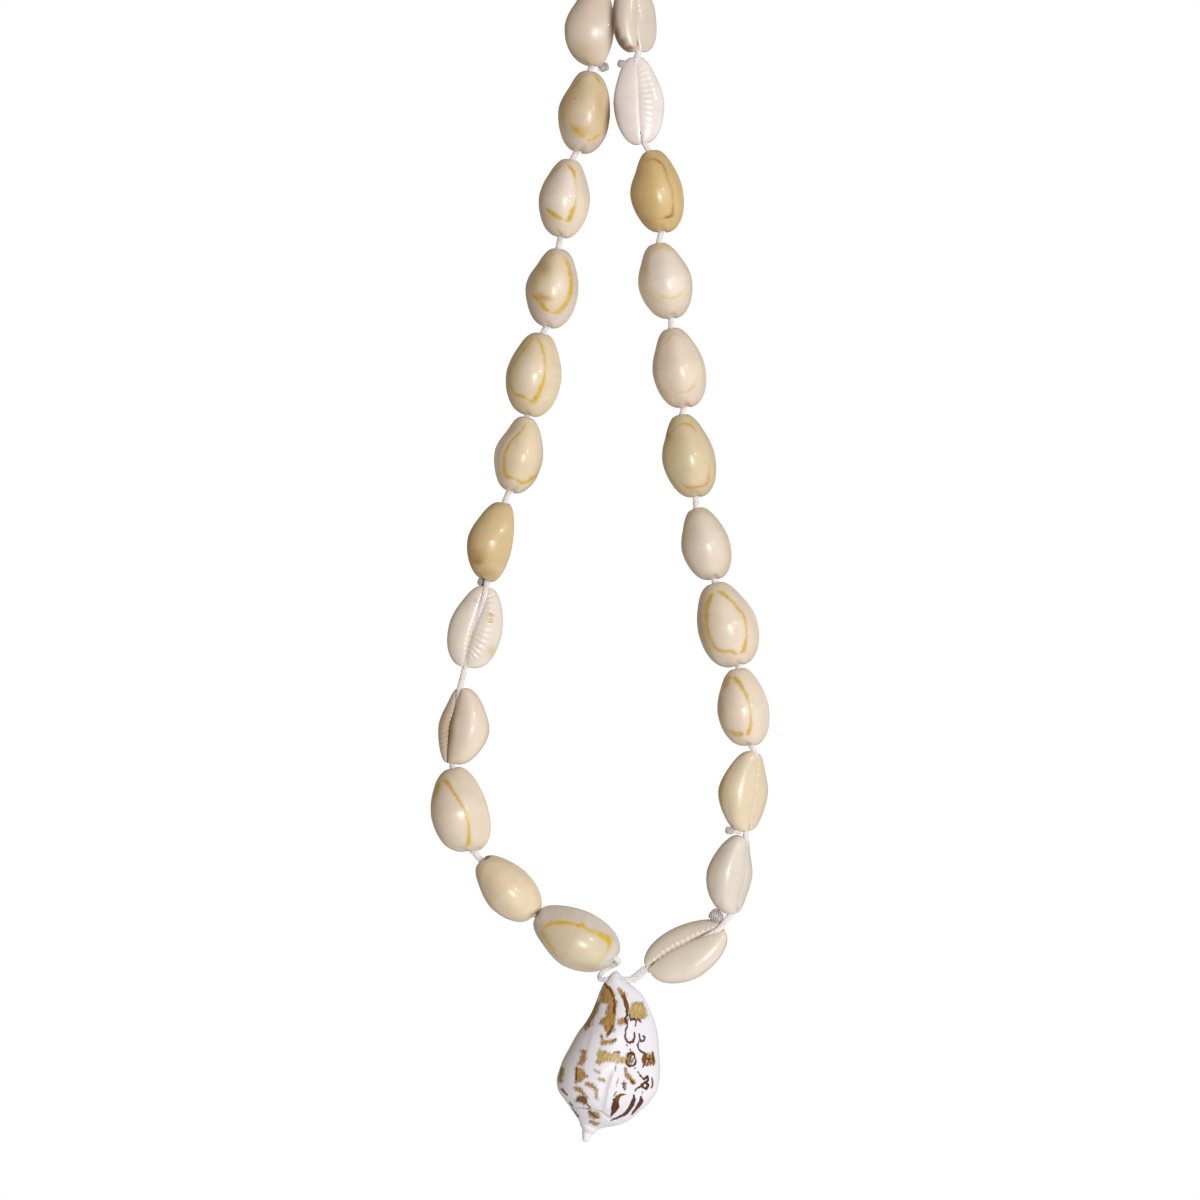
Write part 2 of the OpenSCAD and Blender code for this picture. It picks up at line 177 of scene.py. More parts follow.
for plain, dome, rim in (("left_01", "ivory", "cream"), ("left_02", "cream", "cream"), ("left_03", "cream", "cream"),
                         ("left_09", "tan", "tan"), ("left_10", "cream", "pale"), ("left_11", "cream", "cream"),
                         ("left_13", "ivory", "ivory"), ("right_01", "cream", "cream"), ("right_02", "ivory", "cream"),
                         ("right_03", "ivory", "cream"), ("right_04", "pale", "white"), ("right_09", "pale", "cream"),
                         ("right_12", "ivory", "ivory"), ("right_13", "cream", "pale"), ("right_14", "cream", "cream")):
    RINGS[plain] = (dome, rim, "amber", PLAIN_RING)

# Slit of a cowrie: its half width in mm, how much wider it is at the upper end, how far up it starts to widen as a
# share of half the length, how much wider it is at the lower end, and its bow to the side; the groove along it; the
# teeth's height, spacing and reach over both lips; the pull of the left shoulder; the base's depth and how far the
# widest line lies towards the dome, as shares of the width; how evenly round the whole is, how full, its shift across
# as seen from the front in mm, and the tone inside the slit
FORM_COLUMNS = ("slit", "open_top", "top_from", "open_low", "bow", "groove", "tooth", "pitch", "reach_right",
                "reach_left", "shoulder", "belly", "keel", "round", "full", "shift", "inner")
FORMS = {
    "plain": (0.25, 0.7, 0.62, 0.7, 0, 0.2, 0.18, 1.7, 3.4, 2.6, 0.05, 0.18, 0, 0, 1, 0, "sand"),
    "left_03": (0.25, 0.7, 0.62, 0.7, 0, 0.2, 0.18, 1.7, 3.4, 2.6, 0.05, 0.18, 0, 0, 1.06, 0.4, "sand"),
    "left_10": (0.1, 0.6, -0.1, 0.35, 0.5, 0.16, 0.3, 1.4, 0.6, 5.6, 0, 0.24, 0, 0.8, 1, 0, "white"),
    "left_11": (0.16, 0.7, 0.4, 0.2, 0.6, 0.26, 0.24, 1.4, 3.2, 0.3, 0, 0.26, 0.12, 1, 0.965, -0.5, "brown"),
    "right_03": (0, 0.3, 0.8, 0.3, 1.2, 0.1, 0, 1.7, 3.4, 2.6, 0.03, 0.26, 0, 1, 0.96, -0.4, "cream"),
    "right_04": (0, 0.4, 0.85, 0.3, 0, 0.05, 0.07, 1.5, 0.4, 6.2, 0, 0.24, 0, 0.8, 1, 0, "white"),
    "right_12": (0, 0.3, 0.85, 0.15, 0, 0.04, 0.2, 1.1, 0.8, 1.8, 0, 0.26, 0.12, 1, 0.958, 0.5, "cream"),
    "right_13": (0, 0.3, 0.88, 0.15, 0, 0.03, 0.15, 1.1, 0.6, 1.5, 0, 0.24, 0.12, 1, 0.968, 0.4, "pale"),
    "right_14": (0.1, 0.75, 0, 0.3, 1.3, 0.2, 0.3, 1.6, 1.5, 0.8, 0, 0.24, 0, 0.8, 0.98, -0.1, "tan"),
}

# How much brighter or darker some cowries are than their tones, in red, green and blue
TINTS = {
    "left_03": (0.96, 0.96, 0.97), "left_04": (0.98, 0.97, 0.95), "left_09": (0.95, 0.95, 0.93),
    "left_10": (0.96, 0.97, 0.98), "left_11": (0.98, 0.98, 0.99), "left_12": (0.97, 0.97, 0.97),
    "left_14": (0.94, 0.95, 0.95), "right_03": (0.93, 0.94, 0.96), "right_04": (0.99, 1, 1.03),
    "right_08": (0.96, 0.96, 0.93), "right_09": (0.96, 0.96, 0.95), "right_12": (0.98, 0.99, 1),
    "right_13": (0.93, 0.94, 0.95), "right_14": (0.96, 0.98, 1),
}

# How much fuller a cowrie's outline is than the plain one's, in mm: upper left, lower left, lower right, upper right
CORNERS = {
    "left_03": (-0.5, 0.1, -0.4, 0), "left_04": (-0.9, -0.5, 0.4, 0.6), "left_05": (-0.3, -0.4, -0.2, -0.4),
    "left_06": (-0.8, -0.6, 0.1, 0.1), "left_07": (0.1, -0.2, 0.1, -0.2), "left_08": (-0.8, -0.7, 0, -0.1),
    "left_09": (-0.4, -0.5, 0, 0.4), "left_10": (-0.3, 0.1, 0.3, 0), "left_11": (-0.9, -0.6, -0.8, -0.4),
    "left_12": (0.2, 0, 0.7, 0.4), "left_13": (-0.1, -0.3, 0, 0.1), "left_14": (-0.2, -0.4, 0.1, 0.2),
    "right_03": (0, 0.5, 1, -1.2), "right_04": (-0.3, 0, -0.4, -0.4), "right_05": (-0.9, -0.6, 0.3, -0.1),
    "right_06": (-0.2, -0.5, -0.1, -0.4), "right_07": (-0.3, -0.1, 0.2, -0.3), "right_08": (-0.7, -0.5, 0.3, -0.2),
    "right_09": (-0.5, -0.3, 0.1, -0.1), "right_10": (0.3, 0.4, 0, -0.4), "right_11": (0, -0.1, 0.1, 0),
    "right_12": (-0.4, -0.8, -0.5, -0.9), "right_13": (-0.2, -0.4, -0.7, -1.4), "right_14": (0.3, 0.3, -0.4, 0.3),
}

# Soft marks and painted shade as seen from the front: middle across and down the shell in mm, half sizes, tone and
# strength
SPOTS_AND_PAINTED_SHADE = {
    # left_03: the umber strip on its right edge is painted shade in the gap where it meets right_03
    "left_03": ((-1, 8.6, 4, 3, "sand", 0.4), (7.8, -3, 1.6, 11, "umber", 1)),
    # left_04: the umber strip on its right edge is painted shade in the gap where it meets right_04; the sand wash on
    # its left edge is its own tone with painted shade of the side turned from the light
    "left_04": ((0.4, 1.6, 3, 4.5, "pale", 0.5), (4.8, -1.5, 2.2, 6, "sand", 0.5), (7.5, 0.5, 1.3, 7, "umber", 1),
                (-6.4, -1, 2.4, 7, "sand", 0.6), (-0.5, 6.4, 2.4, 1.2, "amber", 0.4), (2, 6, 2.6, 1.8, "tan", 0.6),
                (-3.3, -3, 0.35, 0.3, "brown", 0.6)),
    "left_05": ((5.6, -4, 1.4, 4, "lilac", 0.7), (5.4, 3, 1.2, 3, "pale", 0.5)),
    "left_06": ((1.4, 0.3, 2.4, 4, "pale", 0.6), (-3.2, -4.8, 2, 2.2, "amber", 0.5),
                (-5.2, -0.2, 1.2, 3, "amber", 0.3), (-1.6, 3.8, 2.4, 0.9, "amber", 0.65),
                (-3.5, 3.6, 1.6, 1.4, "sand", 0.5)),
    "left_07": ((-1.5, 0.5, 3, 5, "pale", 0.5), (6.1, -4.8, 0.7, 0.6, "pale", 0.6), (6.1, -1.7, 0.6, 0.5, "pale", 0.6),
                (6.1, 0.9, 0.7, 0.6, "pale", 0.6), (5.8, 4.5, 0.7, 0.5, "pale", 0.6),
                (5.3, 6.4, 0.7, 0.6, "pale", 0.6)),
    # left_09: the sand wash on its left edge (across -6) is its own tone with painted shade of the side turned from the
    # light
    "left_09": ((-2, 6.9, 1.5, 0.9, "brown", 0.7), (-2.6, 5.8, 2.8, 2.6, "sand", 0.75), (-6, 2, 2.2, 6, "sand", 0.5),
                (1, 9.5, 3, 1.6, "sand", 0.6)),
    "left_10": ((3.4, -4.8, 0.9, 0.5, "amber", 0.85), (3.6, -3.7, 0.9, 0.4, "gold", 0.8),
                (3.8, -2.7, 0.8, 0.5, "amber", 0.75), (6.4, 5.8, 1.4, 1.8, "tan", 0.8),
                (-1.8, -7.6, 1, 0.7, "grey", 0.5)),
    # left_11: the faint sand wash on its left edge (across -7.2) is its own tone with painted shade of the side turned
    # from the light
    "left_11": ((-4.4, 1.5, 1, 6, "rust", 0.55), (-4.6, 2.4, 0.6, 1.6, "amber", 0.7), (-7.2, 1, 1.6, 8, "sand", 0.3)),
    "left_13": ((2.6, -11.3, 1.5, 0.8, "umber", 0.95), (1.6, 11.3, 1.5, 0.9, "brown", 0.85)),
    # right_03: the umber strip on its left edge is painted shade in the gap where it meets left_03, and the brown spots
    # along its lower left edge are painted shade too
    "right_03": ((-7.4, 0, 1.5, 10, "umber", 0.9), (-5.6, 7, 1.1, 2.6, "brown", 0.8),
                 (-4.2, 9.4, 1.5, 1.6, "brown", 0.85), (-2.2, 11, 2, 0.9, "brown", 0.8)),
    # right_05: the sand wash on its left edge (across -7) is its own tone with painted shade of the side turned from
    # the light
    "right_05": ((-7, 4, 2.4, 5, "sand", 0.6), (-4, 9, 3, 2, "sand", 0.5), (1.8, 1.6, 1.6, 3, "cream", 0.35)),
    "right_06": ((-5.1, -4.5, 1.2, 3, "tan", 0.5),),
    "right_08": ((-4.9, -7.4, 0.5, 1.4, "rust", 0.6),),
    # right_10 to right_12: the sand washes on the left edges are their own tone with painted shade of the side turned
    # from the light
    "right_10": ((-7.5, 0, 1.6, 8, "sand", 0.4), (4, 1.5, 1.2, 3, "cream", 0.4)),
    "right_11": ((-6.8, -2, 1.4, 6, "sand", 0.4), (5.5, 2, 1.8, 6, "lilac", 0.6)),
    "right_12": ((-7.2, 0, 2.2, 8, "sand", 0.6),),
}


def smooth(x, low, high):
    """0 up to low and 1 from high on, with an eased step between."""
    t = np.clip((x - low) / (high - low), 0, 1)
    return t * t * (3 - 2 * t)


def bell(x, middle, width):
    return np.exp(-(((x - middle) / width) ** 2))


def turn_of(row):
    """Cosine and sine of a shell's lean and of its turn."""
    return [f(math.radians(row[column])) for column in (LEAN, TURN) for f in (math.cos, math.sin)]


def shell_place(row):
    """Turn and middle that bring a shell that stands upright, dome to the viewer, to its place on the string."""
    cl, sl, ct, st = turn_of(row)
    lean_turn = np.array([[cl, 0, -sl], [0, 1, 0], [sl, 0, cl]]) @ np.array([[ct, -st, 0], [st, ct, 0], [0, 0, 1]])
    reach = [row[WIDTH] * math.hypot(ct / 2, st * share) for share in (DOME, BASE)]
    side = (abs(st) > 1e-9) * math.copysign(1, st) * (reach[0] - reach[1]) / 2
    middle = np.array([row[X] - side * cl, -BORE_DEPTH * ct, row[Z] - side * sl])
    return lean_turn, middle


# How much closer the stations lie at the ends, the roundness of the upper and lower end, and how much the egg narrows
# towards each of them
CLOSER_ENDS, ROUND_UP, ROUND_LOW, EGG_UP, EGG_LOW = 0.55, 2.2, 2.06, 0.24, 0.05
# Place and spread of the shoulders as shares of half the length, and the pull of the right one
SHOULDER_AT, SHOULDER_SPREAD, SHOULDER_RIGHT = -0.62, 0.24, 0.02
# Where the slit starts to widen at its lower end and where it is widest, as shares of half the length
LOW_FROM, WIDEST = 0.62, 0.98
# Spread in mm of the hollow beside the slit and of the groove along it
HOLLOW_SPREAD, GROOVE_SPREAD = 2.2, 0.45
# How wide the dome is as a share of the whole, and the share of its height that a flatter top takes up
DOME_WIDE, PLATEAU = 0.95, 0.28
# Powers for the base's outline across it, for the heights of base and dome, and for the spacing of the base's points
BASE_ACROSS, BASE_HIGH, DOME_HIGH, BASE_SPACING = 0.92, 0.85, 0.85, 1.2
# How the dome and the base fall to the ends: the power for a plain form, and what a round one adds to it
DOME_FALL, BASE_FALL = (0.6, -0.1), (0.42, 0.08)
# Sideways wave of the slit, in mm and in turn over half the length, and its greatest half width as a share of the bore
SLIT_WAVE, SLIT_TURN, SLIT_LIMIT = 0.3, 2.4, 0.92
# Thickness of the rim round the bore's ends in mm, and how far to the side, as a share of the bore, a wall may meet it
RIM, WALL_LIMIT = 0.2, 0.95
# What a point is: on the base right or left of the slit, on the dome, or on the slit's walls and in the bore. Away is
# the distance from the slit in mm that the dome's points get
ON_RIGHT, ON_DOME, ON_LEFT, WITHIN, AWAY = 1, 2, 3, 4, 99


def cowrie_surface(row, form):
    """Grid of points of one cowrie in mm, stations along it by points round it, with what each point is."""
    half, width = row[LENGTH] / 2, row[WIDTH] * form["full"]
    keel = width * form["keel"]
    w0, h0, b0 = width / 2, width * DOME - keel, width * form["belly"] + keel
    phi = np.linspace(0, math.pi, STATIONS)
    s = (CLOSER_ENDS * -np.cos(phi) + (1 - CLOSER_ENDS) * (2 * phi / math.pi - 1))[:, None]
    up = s < 0
    round_end = np.where(up, 1 - np.abs(s) ** ROUND_UP, 1 - np.abs(s) ** ROUND_LOW).clip(0)
    egg = 1 + np.where(up, EGG_UP * s, EGG_LOW * s)
    fx = np.sqrt(round_end) * egg
    fx_left, fx_right = (fx * (1 - pull * bell(s, SHOULDER_AT, SHOULDER_SPREAD))
                         for pull in (form["shoulder"], SHOULDER_RIGHT))
    fh, fb = (round_end ** (fall[0] + fall[1] * form["round"]) * egg for fall in (DOME_FALL, BASE_FALL))
    centre = SLIT_WAVE * np.sin(SLIT_TURN * s) + form["bow"] * (1 - s * s)
    gap = (form["slit"] + form["open_top"] * smooth(-s, form["top_from"], WIDEST)
           + form["open_low"] * smooth(s, LOW_FROM, WIDEST))
    gap = np.minimum(gap, SLIT_LIMIT * BORE_R)
    rim = BORE_R + RIM

    def base_side(t, sign, fx_side):
        """Half of the base from a lip of the slit to the widest line: places and distance from the lip."""
        beta = math.pi / 2 * t ** BASE_SPACING
        edge = centre + sign * gap
        x = edge + (sign * w0 - edge) * np.sin(beta) ** BASE_ACROSS
        off = np.abs(x - edge)
        y = b0 * np.cos(beta).clip(0) ** BASE_HIGH
        y = y * (1 - 0.6 * form["groove"] * bell(off, 0, HOLLOW_SPREAD) - form["groove"] * bell(off, 0, GROOVE_SPREAD))
        start = np.arcsin((sign * edge / rim).clip(-1, 1))
        gamma = start + (math.pi / 2 - start) * beta / (math.pi / 2)
        xr, yr = sign * rim * np.sin(gamma), BORE_DEPTH + rim * np.cos(gamma)
        return xr + fx_side * (x - xr), yr + fb * (y - yr) - fh * keel, off

    t = np.linspace(0, 1, BASE_STEPS + 1)[None, :-1]
    xr_, yr_, off_r = base_side(t, 1, fx_right)
    xl_, yl_, off_l = base_side(t, -1, fx_left)

    a = np.linspace(0, math.pi, DOME_STEPS + 1)[None, :]
    across = np.cos(a)
    plateau = np.sqrt((1 - across ** 6).clip(0))
    bulge = (1 - (across / DOME_WIDE) ** 2).clip(0) ** DOME_HIGH
    height = (1 - PLATEAU) * bulge + PLATEAU * plateau
    height = height + form["round"] * (np.sqrt((1 - across ** 2).clip(0)) - height)
    f_side = np.where(across > 0, fx_right, fx_left)
    rx, ry = rim * np.cos(a), BORE_DEPTH - rim * np.sin(a)
    xd = rx + f_side * (w0 * across - rx)
    yd = ry + fh * (-h0 * height - ry - keel)

    # slit walls and bore, from the left lip round to the right lip
    wall = np.linspace(0, 1, WALL_STEPS + 2)[None, 1:-1]
    g_l, g_r = (np.arcsin(((centre + sign * gap) / BORE_R).clip(-WALL_LIMIT, WALL_LIMIT)) for sign in (-1, 1))
    lip_y_l, lip_y_r = yl_[:, :1], yr_[:, :1]
    lip_x_l, lip_x_r = xl_[:, :1], xr_[:, :1]
    g = g_l + (g_r - 2 * math.pi - g_l) * np.linspace(0, 1, BORE_STEPS)[None, :]
    bore = (BORE_R * np.sin(g), BORE_DEPTH + BORE_R * np.cos(g))
    wall_l, wall_r = (
        (lip_x + (bore[0][:, [end]] - lip_x) * share, lip_y + (bore[1][:, [end]] - lip_y) * share)
        for lip_x, lip_y, end, share in ((lip_x_l, lip_y_l, 0, wall), (lip_x_r, lip_y_r, -1, wall[:, ::-1])))

    x = np.hstack([xr_, xd, xl_[:, ::-1], wall_l[0], bore[0], wall_r[0]])
    y = np.hstack([yr_, yd, yl_[:, ::-1], wall_l[1], bore[1], wall_r[1]])
    inner = wall_l[0].shape[1] * 2 + BORE_STEPS
    within = 0 * s * np.ones((1, inner))
    kind = np.hstack([ON_RIGHT + 0 * off_r, ON_DOME + 0 * xd, ON_LEFT + 0 * off_l, WITHIN + within])
    off = np.hstack([off_r + 0 * s, AWAY + 0 * xd, off_l[:, ::-1] + 0 * s, within])

    # at the lower end a notch on the dome's side, and the left a little higher than the right
    z = -half * s + 0 * x
    end = smooth(s, 0.8, 1.0)
    low = smooth(-y, -1.6, 0.4)
    z = z + end * (0.6 * bell(x, 0.2, 0.95) * low + 0.15 * np.clip(-x, -1, 1) * (1 - 0.6 * bell(x, 0, 0.8)))
    # place among the teeth, which fan out towards both ends, and how high a tooth is there
    run = (half * s - 0.6 * off * (s + 0.15)) / form["pitch"]
    fade = smooth(1 - np.abs(s + 0.02), 0.1, 0.3)
    reach = np.where(kind == ON_RIGHT, form["reach_right"], np.where(kind == ON_LEFT, form["reach_left"], 1))
    on_lip = smooth(reach - off, 0, 0.45 * reach) * (0.45 + 0.55 * smooth(off, 0, 0.4))
    env = np.where(np.isin(kind, (ON_RIGHT, ON_LEFT)), on_lip, 0)
    env = (env + 0.08 * (kind == ON_RIGHT) * bell(off, 3.8, 1.3)) * fade * form["tooth"]
    return dict(x=x, y=y, z=z, s=s + 0 * x, kind=kind, run=run, env=env)


def closed_curve(rows, parts=5):
    """Points on a smooth closed curve through the rows of a table."""
    p = np.array(rows, float)
    t = (np.arange(parts) / parts)[None, :, None]
    p0, p1, p2, p3 = (np.roll(p, shift, 0)[:, None, :] for shift in (1, 0, -1, -2))
    curve = p1 + 0.5 * t * (p2 - p0 + t * (2 * p0 - 5 * p1 + 4 * p2 - p3 + t * (3 * (p1 - p2) + p3 - p0)))
    return curve.reshape(-1, p.shape[1])


def line_far(x, y, points, closed=False):
    """Distance in mm of many places from a line, the line's width there, and what lies inside a closed one."""
    best, wide, inside = np.full(x.shape, 99.0), np.zeros(x.shape), np.zeros(x.shape, bool)
    points = np.array(points, float)
    for a, b in zip(points, np.roll(points, -1, 0) if closed else points[1:]):
        dx, dy = b[0] - a[0], b[1] - a[1]
        t = (((x - a[0]) * dx + (y - a[1]) * dy) / (dx * dx + dy * dy + 1e-9)).clip(0, 1)
        far = np.hypot(x - a[0] - t * dx, y - a[1] - t * dy)
        near = far < best
        best = np.where(near, far, best)
        wide = np.where(near, a[-1] + t * (b[-1] - a[-1]), wide)
        if closed and dy:
            inside ^= ((a[1] > y) != (b[1] > y)) & (x < a[0] + (y - a[1]) / dy * dx)
    return best, wide, inside


def ring_marks(across, down, rows):
    """Distance in mm from a ring as seen from the front, negative inside it, and its stroke's half width there."""
    far, wide, inside = line_far(across, down, closed_curve(rows), closed=True)
    return np.where(inside, -far, far), wide.clip(0) * 0.4 + 0.05 * (wide > 0.05)


def outward(points, rows, cols):
    """Normals of a closed grid of points."""
    grid = points.reshape(rows, cols, 3)
    normals = np.cross(np.roll(grid, -1, 1) - np.roll(grid, 1, 1), np.gradient(grid, axis=0)).reshape(-1, 3)
    return normals / (np.linalg.norm(normals, axis=1, keepdims=True) + 1e-12)


def as_seen(points, row):
    """How far points lie across and down a shell from its middle, as seen from the front, in mm."""
    cl, sl = turn_of(row)[:2]
    dx, dz = points[:, 0] - row[X], points[:, 2] - row[Z]
    return dx * cl + dz * sl, dx * sl - dz * cl


def fill_corners(points, row, corners):
    """Moves the outline's four corners out or in, as seen from the front."""
    cl, sl, ct, st = turn_of(row)
    across, down = as_seen(points, row)
    wide = row[WIDTH] * sum(math.hypot(ct / 2, st * share) for share in (DOME, BASE)) / 2
    u, v = across / wide, down / (row[LENGTH] / 2)
    r = np.hypot(u, v) + 1e-6
    upper_left, lower_left, lower_right, upper_right = corners
    value = np.where(u < 0, np.where(v < 0, upper_left, lower_left), np.where(v < 0, upper_right, lower_right))
    push = value * (2 * u * v / r ** 2) ** 2 * r.clip(0, 1) / (np.hypot(across, down) + 1e-6)
    da, dd = across * push, down * push
    points[:, 0] += da * cl + dd * sl
    points[:, 2] += da * sl - dd * cl
    return points


def mesh_object(name, verts, faces, material=None):
    mesh = bpy.data.meshes.new(name)
    mesh.from_pydata([tuple(v) for v in verts], [], faces)
    mesh.validate()
    mesh.shade_smooth()
    if material:
        mesh.materials.append(material)
    piece = bpy.data.objects.new(name, mesh)
    bpy.context.scene.collection.objects.link(piece)
    return piece


def put_value(mesh, name, values):
    layer = mesh.attributes.new(name, "FLOAT", "POINT")
    layer.data.foreach_set("value", np.asarray(values, np.float32).ravel())


def put_colour(mesh, name, rgb):
    layer = mesh.attributes.new(name, "FLOAT_COLOR", "POINT")
    rgba = np.ones((len(mesh.vertices), 4), np.float32)
    rgba[:, :3] = rgb
    layer.data.foreach_set("color", rgba.ravel())


def grid_faces(rows, cols):
    i, j = np.meshgrid(np.arange(rows - 1), np.arange(cols), indexing="ij")
    k = (j + 1) % cols
    quads = np.stack([i * cols + j, i * cols + k, (i + 1) * cols + k, (i + 1) * cols + j], -1).reshape(-1, 4)
    return quads.tolist()


def make_cowrie(name, row, material):
    dome, rim, line, ring = RINGS[name]
    form = dict(zip(FORM_COLUMNS, FORMS.get(name, FORMS["plain"])))
    g = cowrie_surface(row, form)
    turn, middle = shell_place(row)
    cl, sl = turn_of(row)[:2]
    middle = middle + form["shift"] * np.array([cl, 0, sl])
    points = np.stack([g["x"], g["y"], g["z"]], -1).reshape(-1, 3) @ turn.T + middle
    points = fill_corners(points, row, CORNERS.get(name, (0, 0, 0, 0)))
    rows, cols = g["x"].shape
    faces = grid_faces(rows, cols)
    faces.append(list(range(cols))[::-1])
    faces.append(list(range((rows - 1) * cols, rows * cols)))
    piece = mesh_object("shell_" + name, points * MM, faces, material)
    mesh = piece.data
    ends = np.array([edge.vertices for edge in mesh.edges])
    lips = np.isin(ends[:, 0] % cols, (0, 2 * BASE_STEPS + DOME_STEPS)) & (np.abs(ends[:, 0] - ends[:, 1]) == cols)
    mesh.attributes.new("sharp_edge", "BOOLEAN", "EDGE").data.foreach_set("value", lips)
    normals = outward(points, rows, cols)
    facing = smooth(-normals[:, 1], 0, 0.12)
    across, down = as_seen(points, row)
    kind, s = g["kind"].ravel(), g["s"].ravel()
    far, stroke = ring_marks(across, down, ring)
    marked = facing * (kind == ON_DOME)
    raised = 0.16 * bell(far, 0.9, 0.9) * smooth(1 - np.abs(s), 0.04, 0.3) * marked
    mesh.vertices.foreach_set("co", ((points + raised[:, None] * normals) * MM).astype(np.float32).ravel())
    inside = (smooth(-far, -0.5, 0.7) * marked)[:, None]
    colour = tone(rim) * (1 - inside) + tone(dome) * inside
    front = smooth(-normals[:, 1], -0.25, 0.05) * (kind != WITHIN)
    # the spots are the shells' own marks and, where listed so, painted shade along their edges
    for u, v, wide, tall, spot_or_shade, strength in SPOTS_AND_PAINTED_SHADE.get(name, ()):
        share = (strength * np.exp(-np.hypot((across - u) / wide, (down - v) / tall) ** 2.5) * front)[:, None]
        colour = colour * (1 - share) + tone(spot_or_shade) * share
    colour = colour * np.array(TINTS.get(name, (1, 1, 1))) ** 2.2
    deep = (kind == WITHIN)[:, None] * 0.9
    colour = colour * (1 - deep) + tone(form["inner"]) * deep
    put_colour(mesh, "glaze", colour)
    put_colour(mesh, "ring_tone", np.tile(tone(line), (rows * cols, 1)))
    put_value(mesh, "ring_far", far)
    put_value(mesh, "ring_wide", stroke * marked)
    put_value(mesh, "tooth_run", g["run"])
    put_value(mesh, "tooth_env", g["env"])
    return piece


# ---------------------------------------------------------------- materials
class Tree:
    """Adds nodes and joins them by socket name, or by a low line and the socket's number."""

    def __init__(self, tree):
        self.nodes, self.links = tree.nodes, tree.links

    def add(self, kind, settings=None, **inputs):
        node = self.nodes.new(kind)
        for key, value in (settings or {}).items():
            setattr(node, key, value)
        for key, value in inputs.items():
            self.put(node, key, value)
        return node

    def put(self, node, key, value):
        numbered = key[0] == "_" and key[1:].isdigit()
        socket = node.inputs[int(key[1:]) if numbered else key.replace("_", " ")]
        if isinstance(value, bpy.types.Node):
            value = value.outputs[0]
        if isinstance(value, bpy.types.NodeSocket):
            self.links.new(value, socket)
        else:
            socket.default_value = value

    def math(self, operation, a, b=None, c=None, clamp=False):
        given = {f"_{i}": value for i, value in enumerate((a, b, c)) if value is not None}
        return self.add("ShaderNodeMath", {"operation": operation, "use_clamp": clamp}, **given).outputs[0]

    def vector(self, operation, a, **others):
        return self.add("ShaderNodeVectorMath", {"operation": operation}, _0=a, **others).outputs[0]

    def ramp(self, value, low, high, to_low=0.0, to_high=1.0, eased=False):
        """Leads what lies from low to high over to the range from to_low to to_high, and goes no further."""
        return self.add("ShaderNodeMapRange", {"interpolation_type": "SMOOTHSTEP" if eased else "LINEAR"}, Value=value,
                        From_Min=low, From_Max=high, To_Min=to_low, To_Max=to_high).outputs[0]

    def mix(self, share, a, b, way="MIX"):
        return self.add("ShaderNodeMix", {"data_type": "RGBA", "blend_type": way}, _0=share, _6=a, _7=b).outputs[2]

    def blend(self, a, b, share_a):
        """The sum of share_a of a and the rest of b."""
        return self.math("MULTIPLY_ADD", a, share_a, self.math("MULTIPLY", b, round(1 - share_a, 3)))

    def noise(self, place, scale, detail=2.0, dimensions="3D"):
        return self.add("ShaderNodeTexNoise", {"noise_dimensions": dimensions}, Vector=place, Scale=scale,
                        Detail=detail).outputs[0]

    def read(self, name, output="Fac"):
        """What the piece's mesh carries under a name."""
        return self.add("ShaderNodeAttribute", {"attribute_name": name}).outputs[output]

    def stored(self, name):
        """The same in Geometry Nodes."""
        return self.add("GeometryNodeInputNamedAttribute", {"data_type": "FLOAT"}, Name=name).outputs[0]

    def bump(self, height, strength, distance):
        return self.add("ShaderNodeBump", Height=height, Strength=strength, Distance=distance).outputs[0]

    def surface(self, **looks):
        self.add("ShaderNodeOutputMaterial", Surface=self.add("ShaderNodeBsdfPrincipled", **looks))


def tone4(name):
    return (*map(float, tone(name)), 1.0)


def new_material(name):
    mat = bpy.data.materials.new(name)
    mat.use_nodes = True
    mat.node_tree.nodes.clear()
    return mat, Tree(mat.node_tree)


def glaze_material():
    """Polished shell: its tone comes from the piece, with faint mottling and the ring line drawn by distance."""
    mat, t = new_material("cowrie_glaze")
    place = t.add("ShaderNodeTexCoord").outputs["Object"]
    wander, fine, grain = t.noise(place, 500.0, 3.0), t.noise(place, 1800.0, 3.0), t.noise(place, 4200.0, 1.0)
    mottle, wide = t.noise(place, 160.0, 4.0), t.read("ring_wide")
    shift = t.math("MULTIPLY", t.math("SUBTRACT", wander, 0.5), 0.7)
    ragged = t.math("MULTIPLY", t.math("SUBTRACT", fine, 0.5), 0.8)
    line = t.math("ABSOLUTE", t.math("ADD", t.read("ring_far"), shift))
    over = t.math("SUBTRACT", wide, t.math("ADD", line, ragged))
    core, halo = t.ramp(over, -0.32, 0.34, eased=True), t.ramp(over, -1.2, 0.1, eased=True)
    broken = t.ramp(t.blend(grain, wander, 0.5), 0.38, 0.6, 0.35, 0.95)
    washed = t.math("MULTIPLY_ADD", core, broken, t.math("MULTIPLY", halo, 0.18), clamp=True)
    stroke = t.math("MULTIPLY", washed, t.ramp(wide, 0.02, 0.3))
    body = t.mix(1.0, t.read("glaze", "Color"), t.ramp(mottle, 0.3, 0.7, 0.94, 1.03), "MULTIPLY")
    t.surface(Base_Color=t.mix(stroke, body, t.read("ring_tone", "Color")),
              Roughness=t.ramp(mottle, 0.0, 1.0, 0.29, 0.37), Normal=t.bump(fine, 0.03, 0.0002),
              Coat_Weight=0.42, Coat_Roughness=0.06)
    return mat


GLAZE = glaze_material()

cowries = {}
for side, rows in (("left", LEFT), ("right", RIGHT)):
    for i, row in enumerate(rows, 1):
        name = f"{side}_{i:02d}"
        cowries[name] = make_cowrie(name, row, GLAZE)


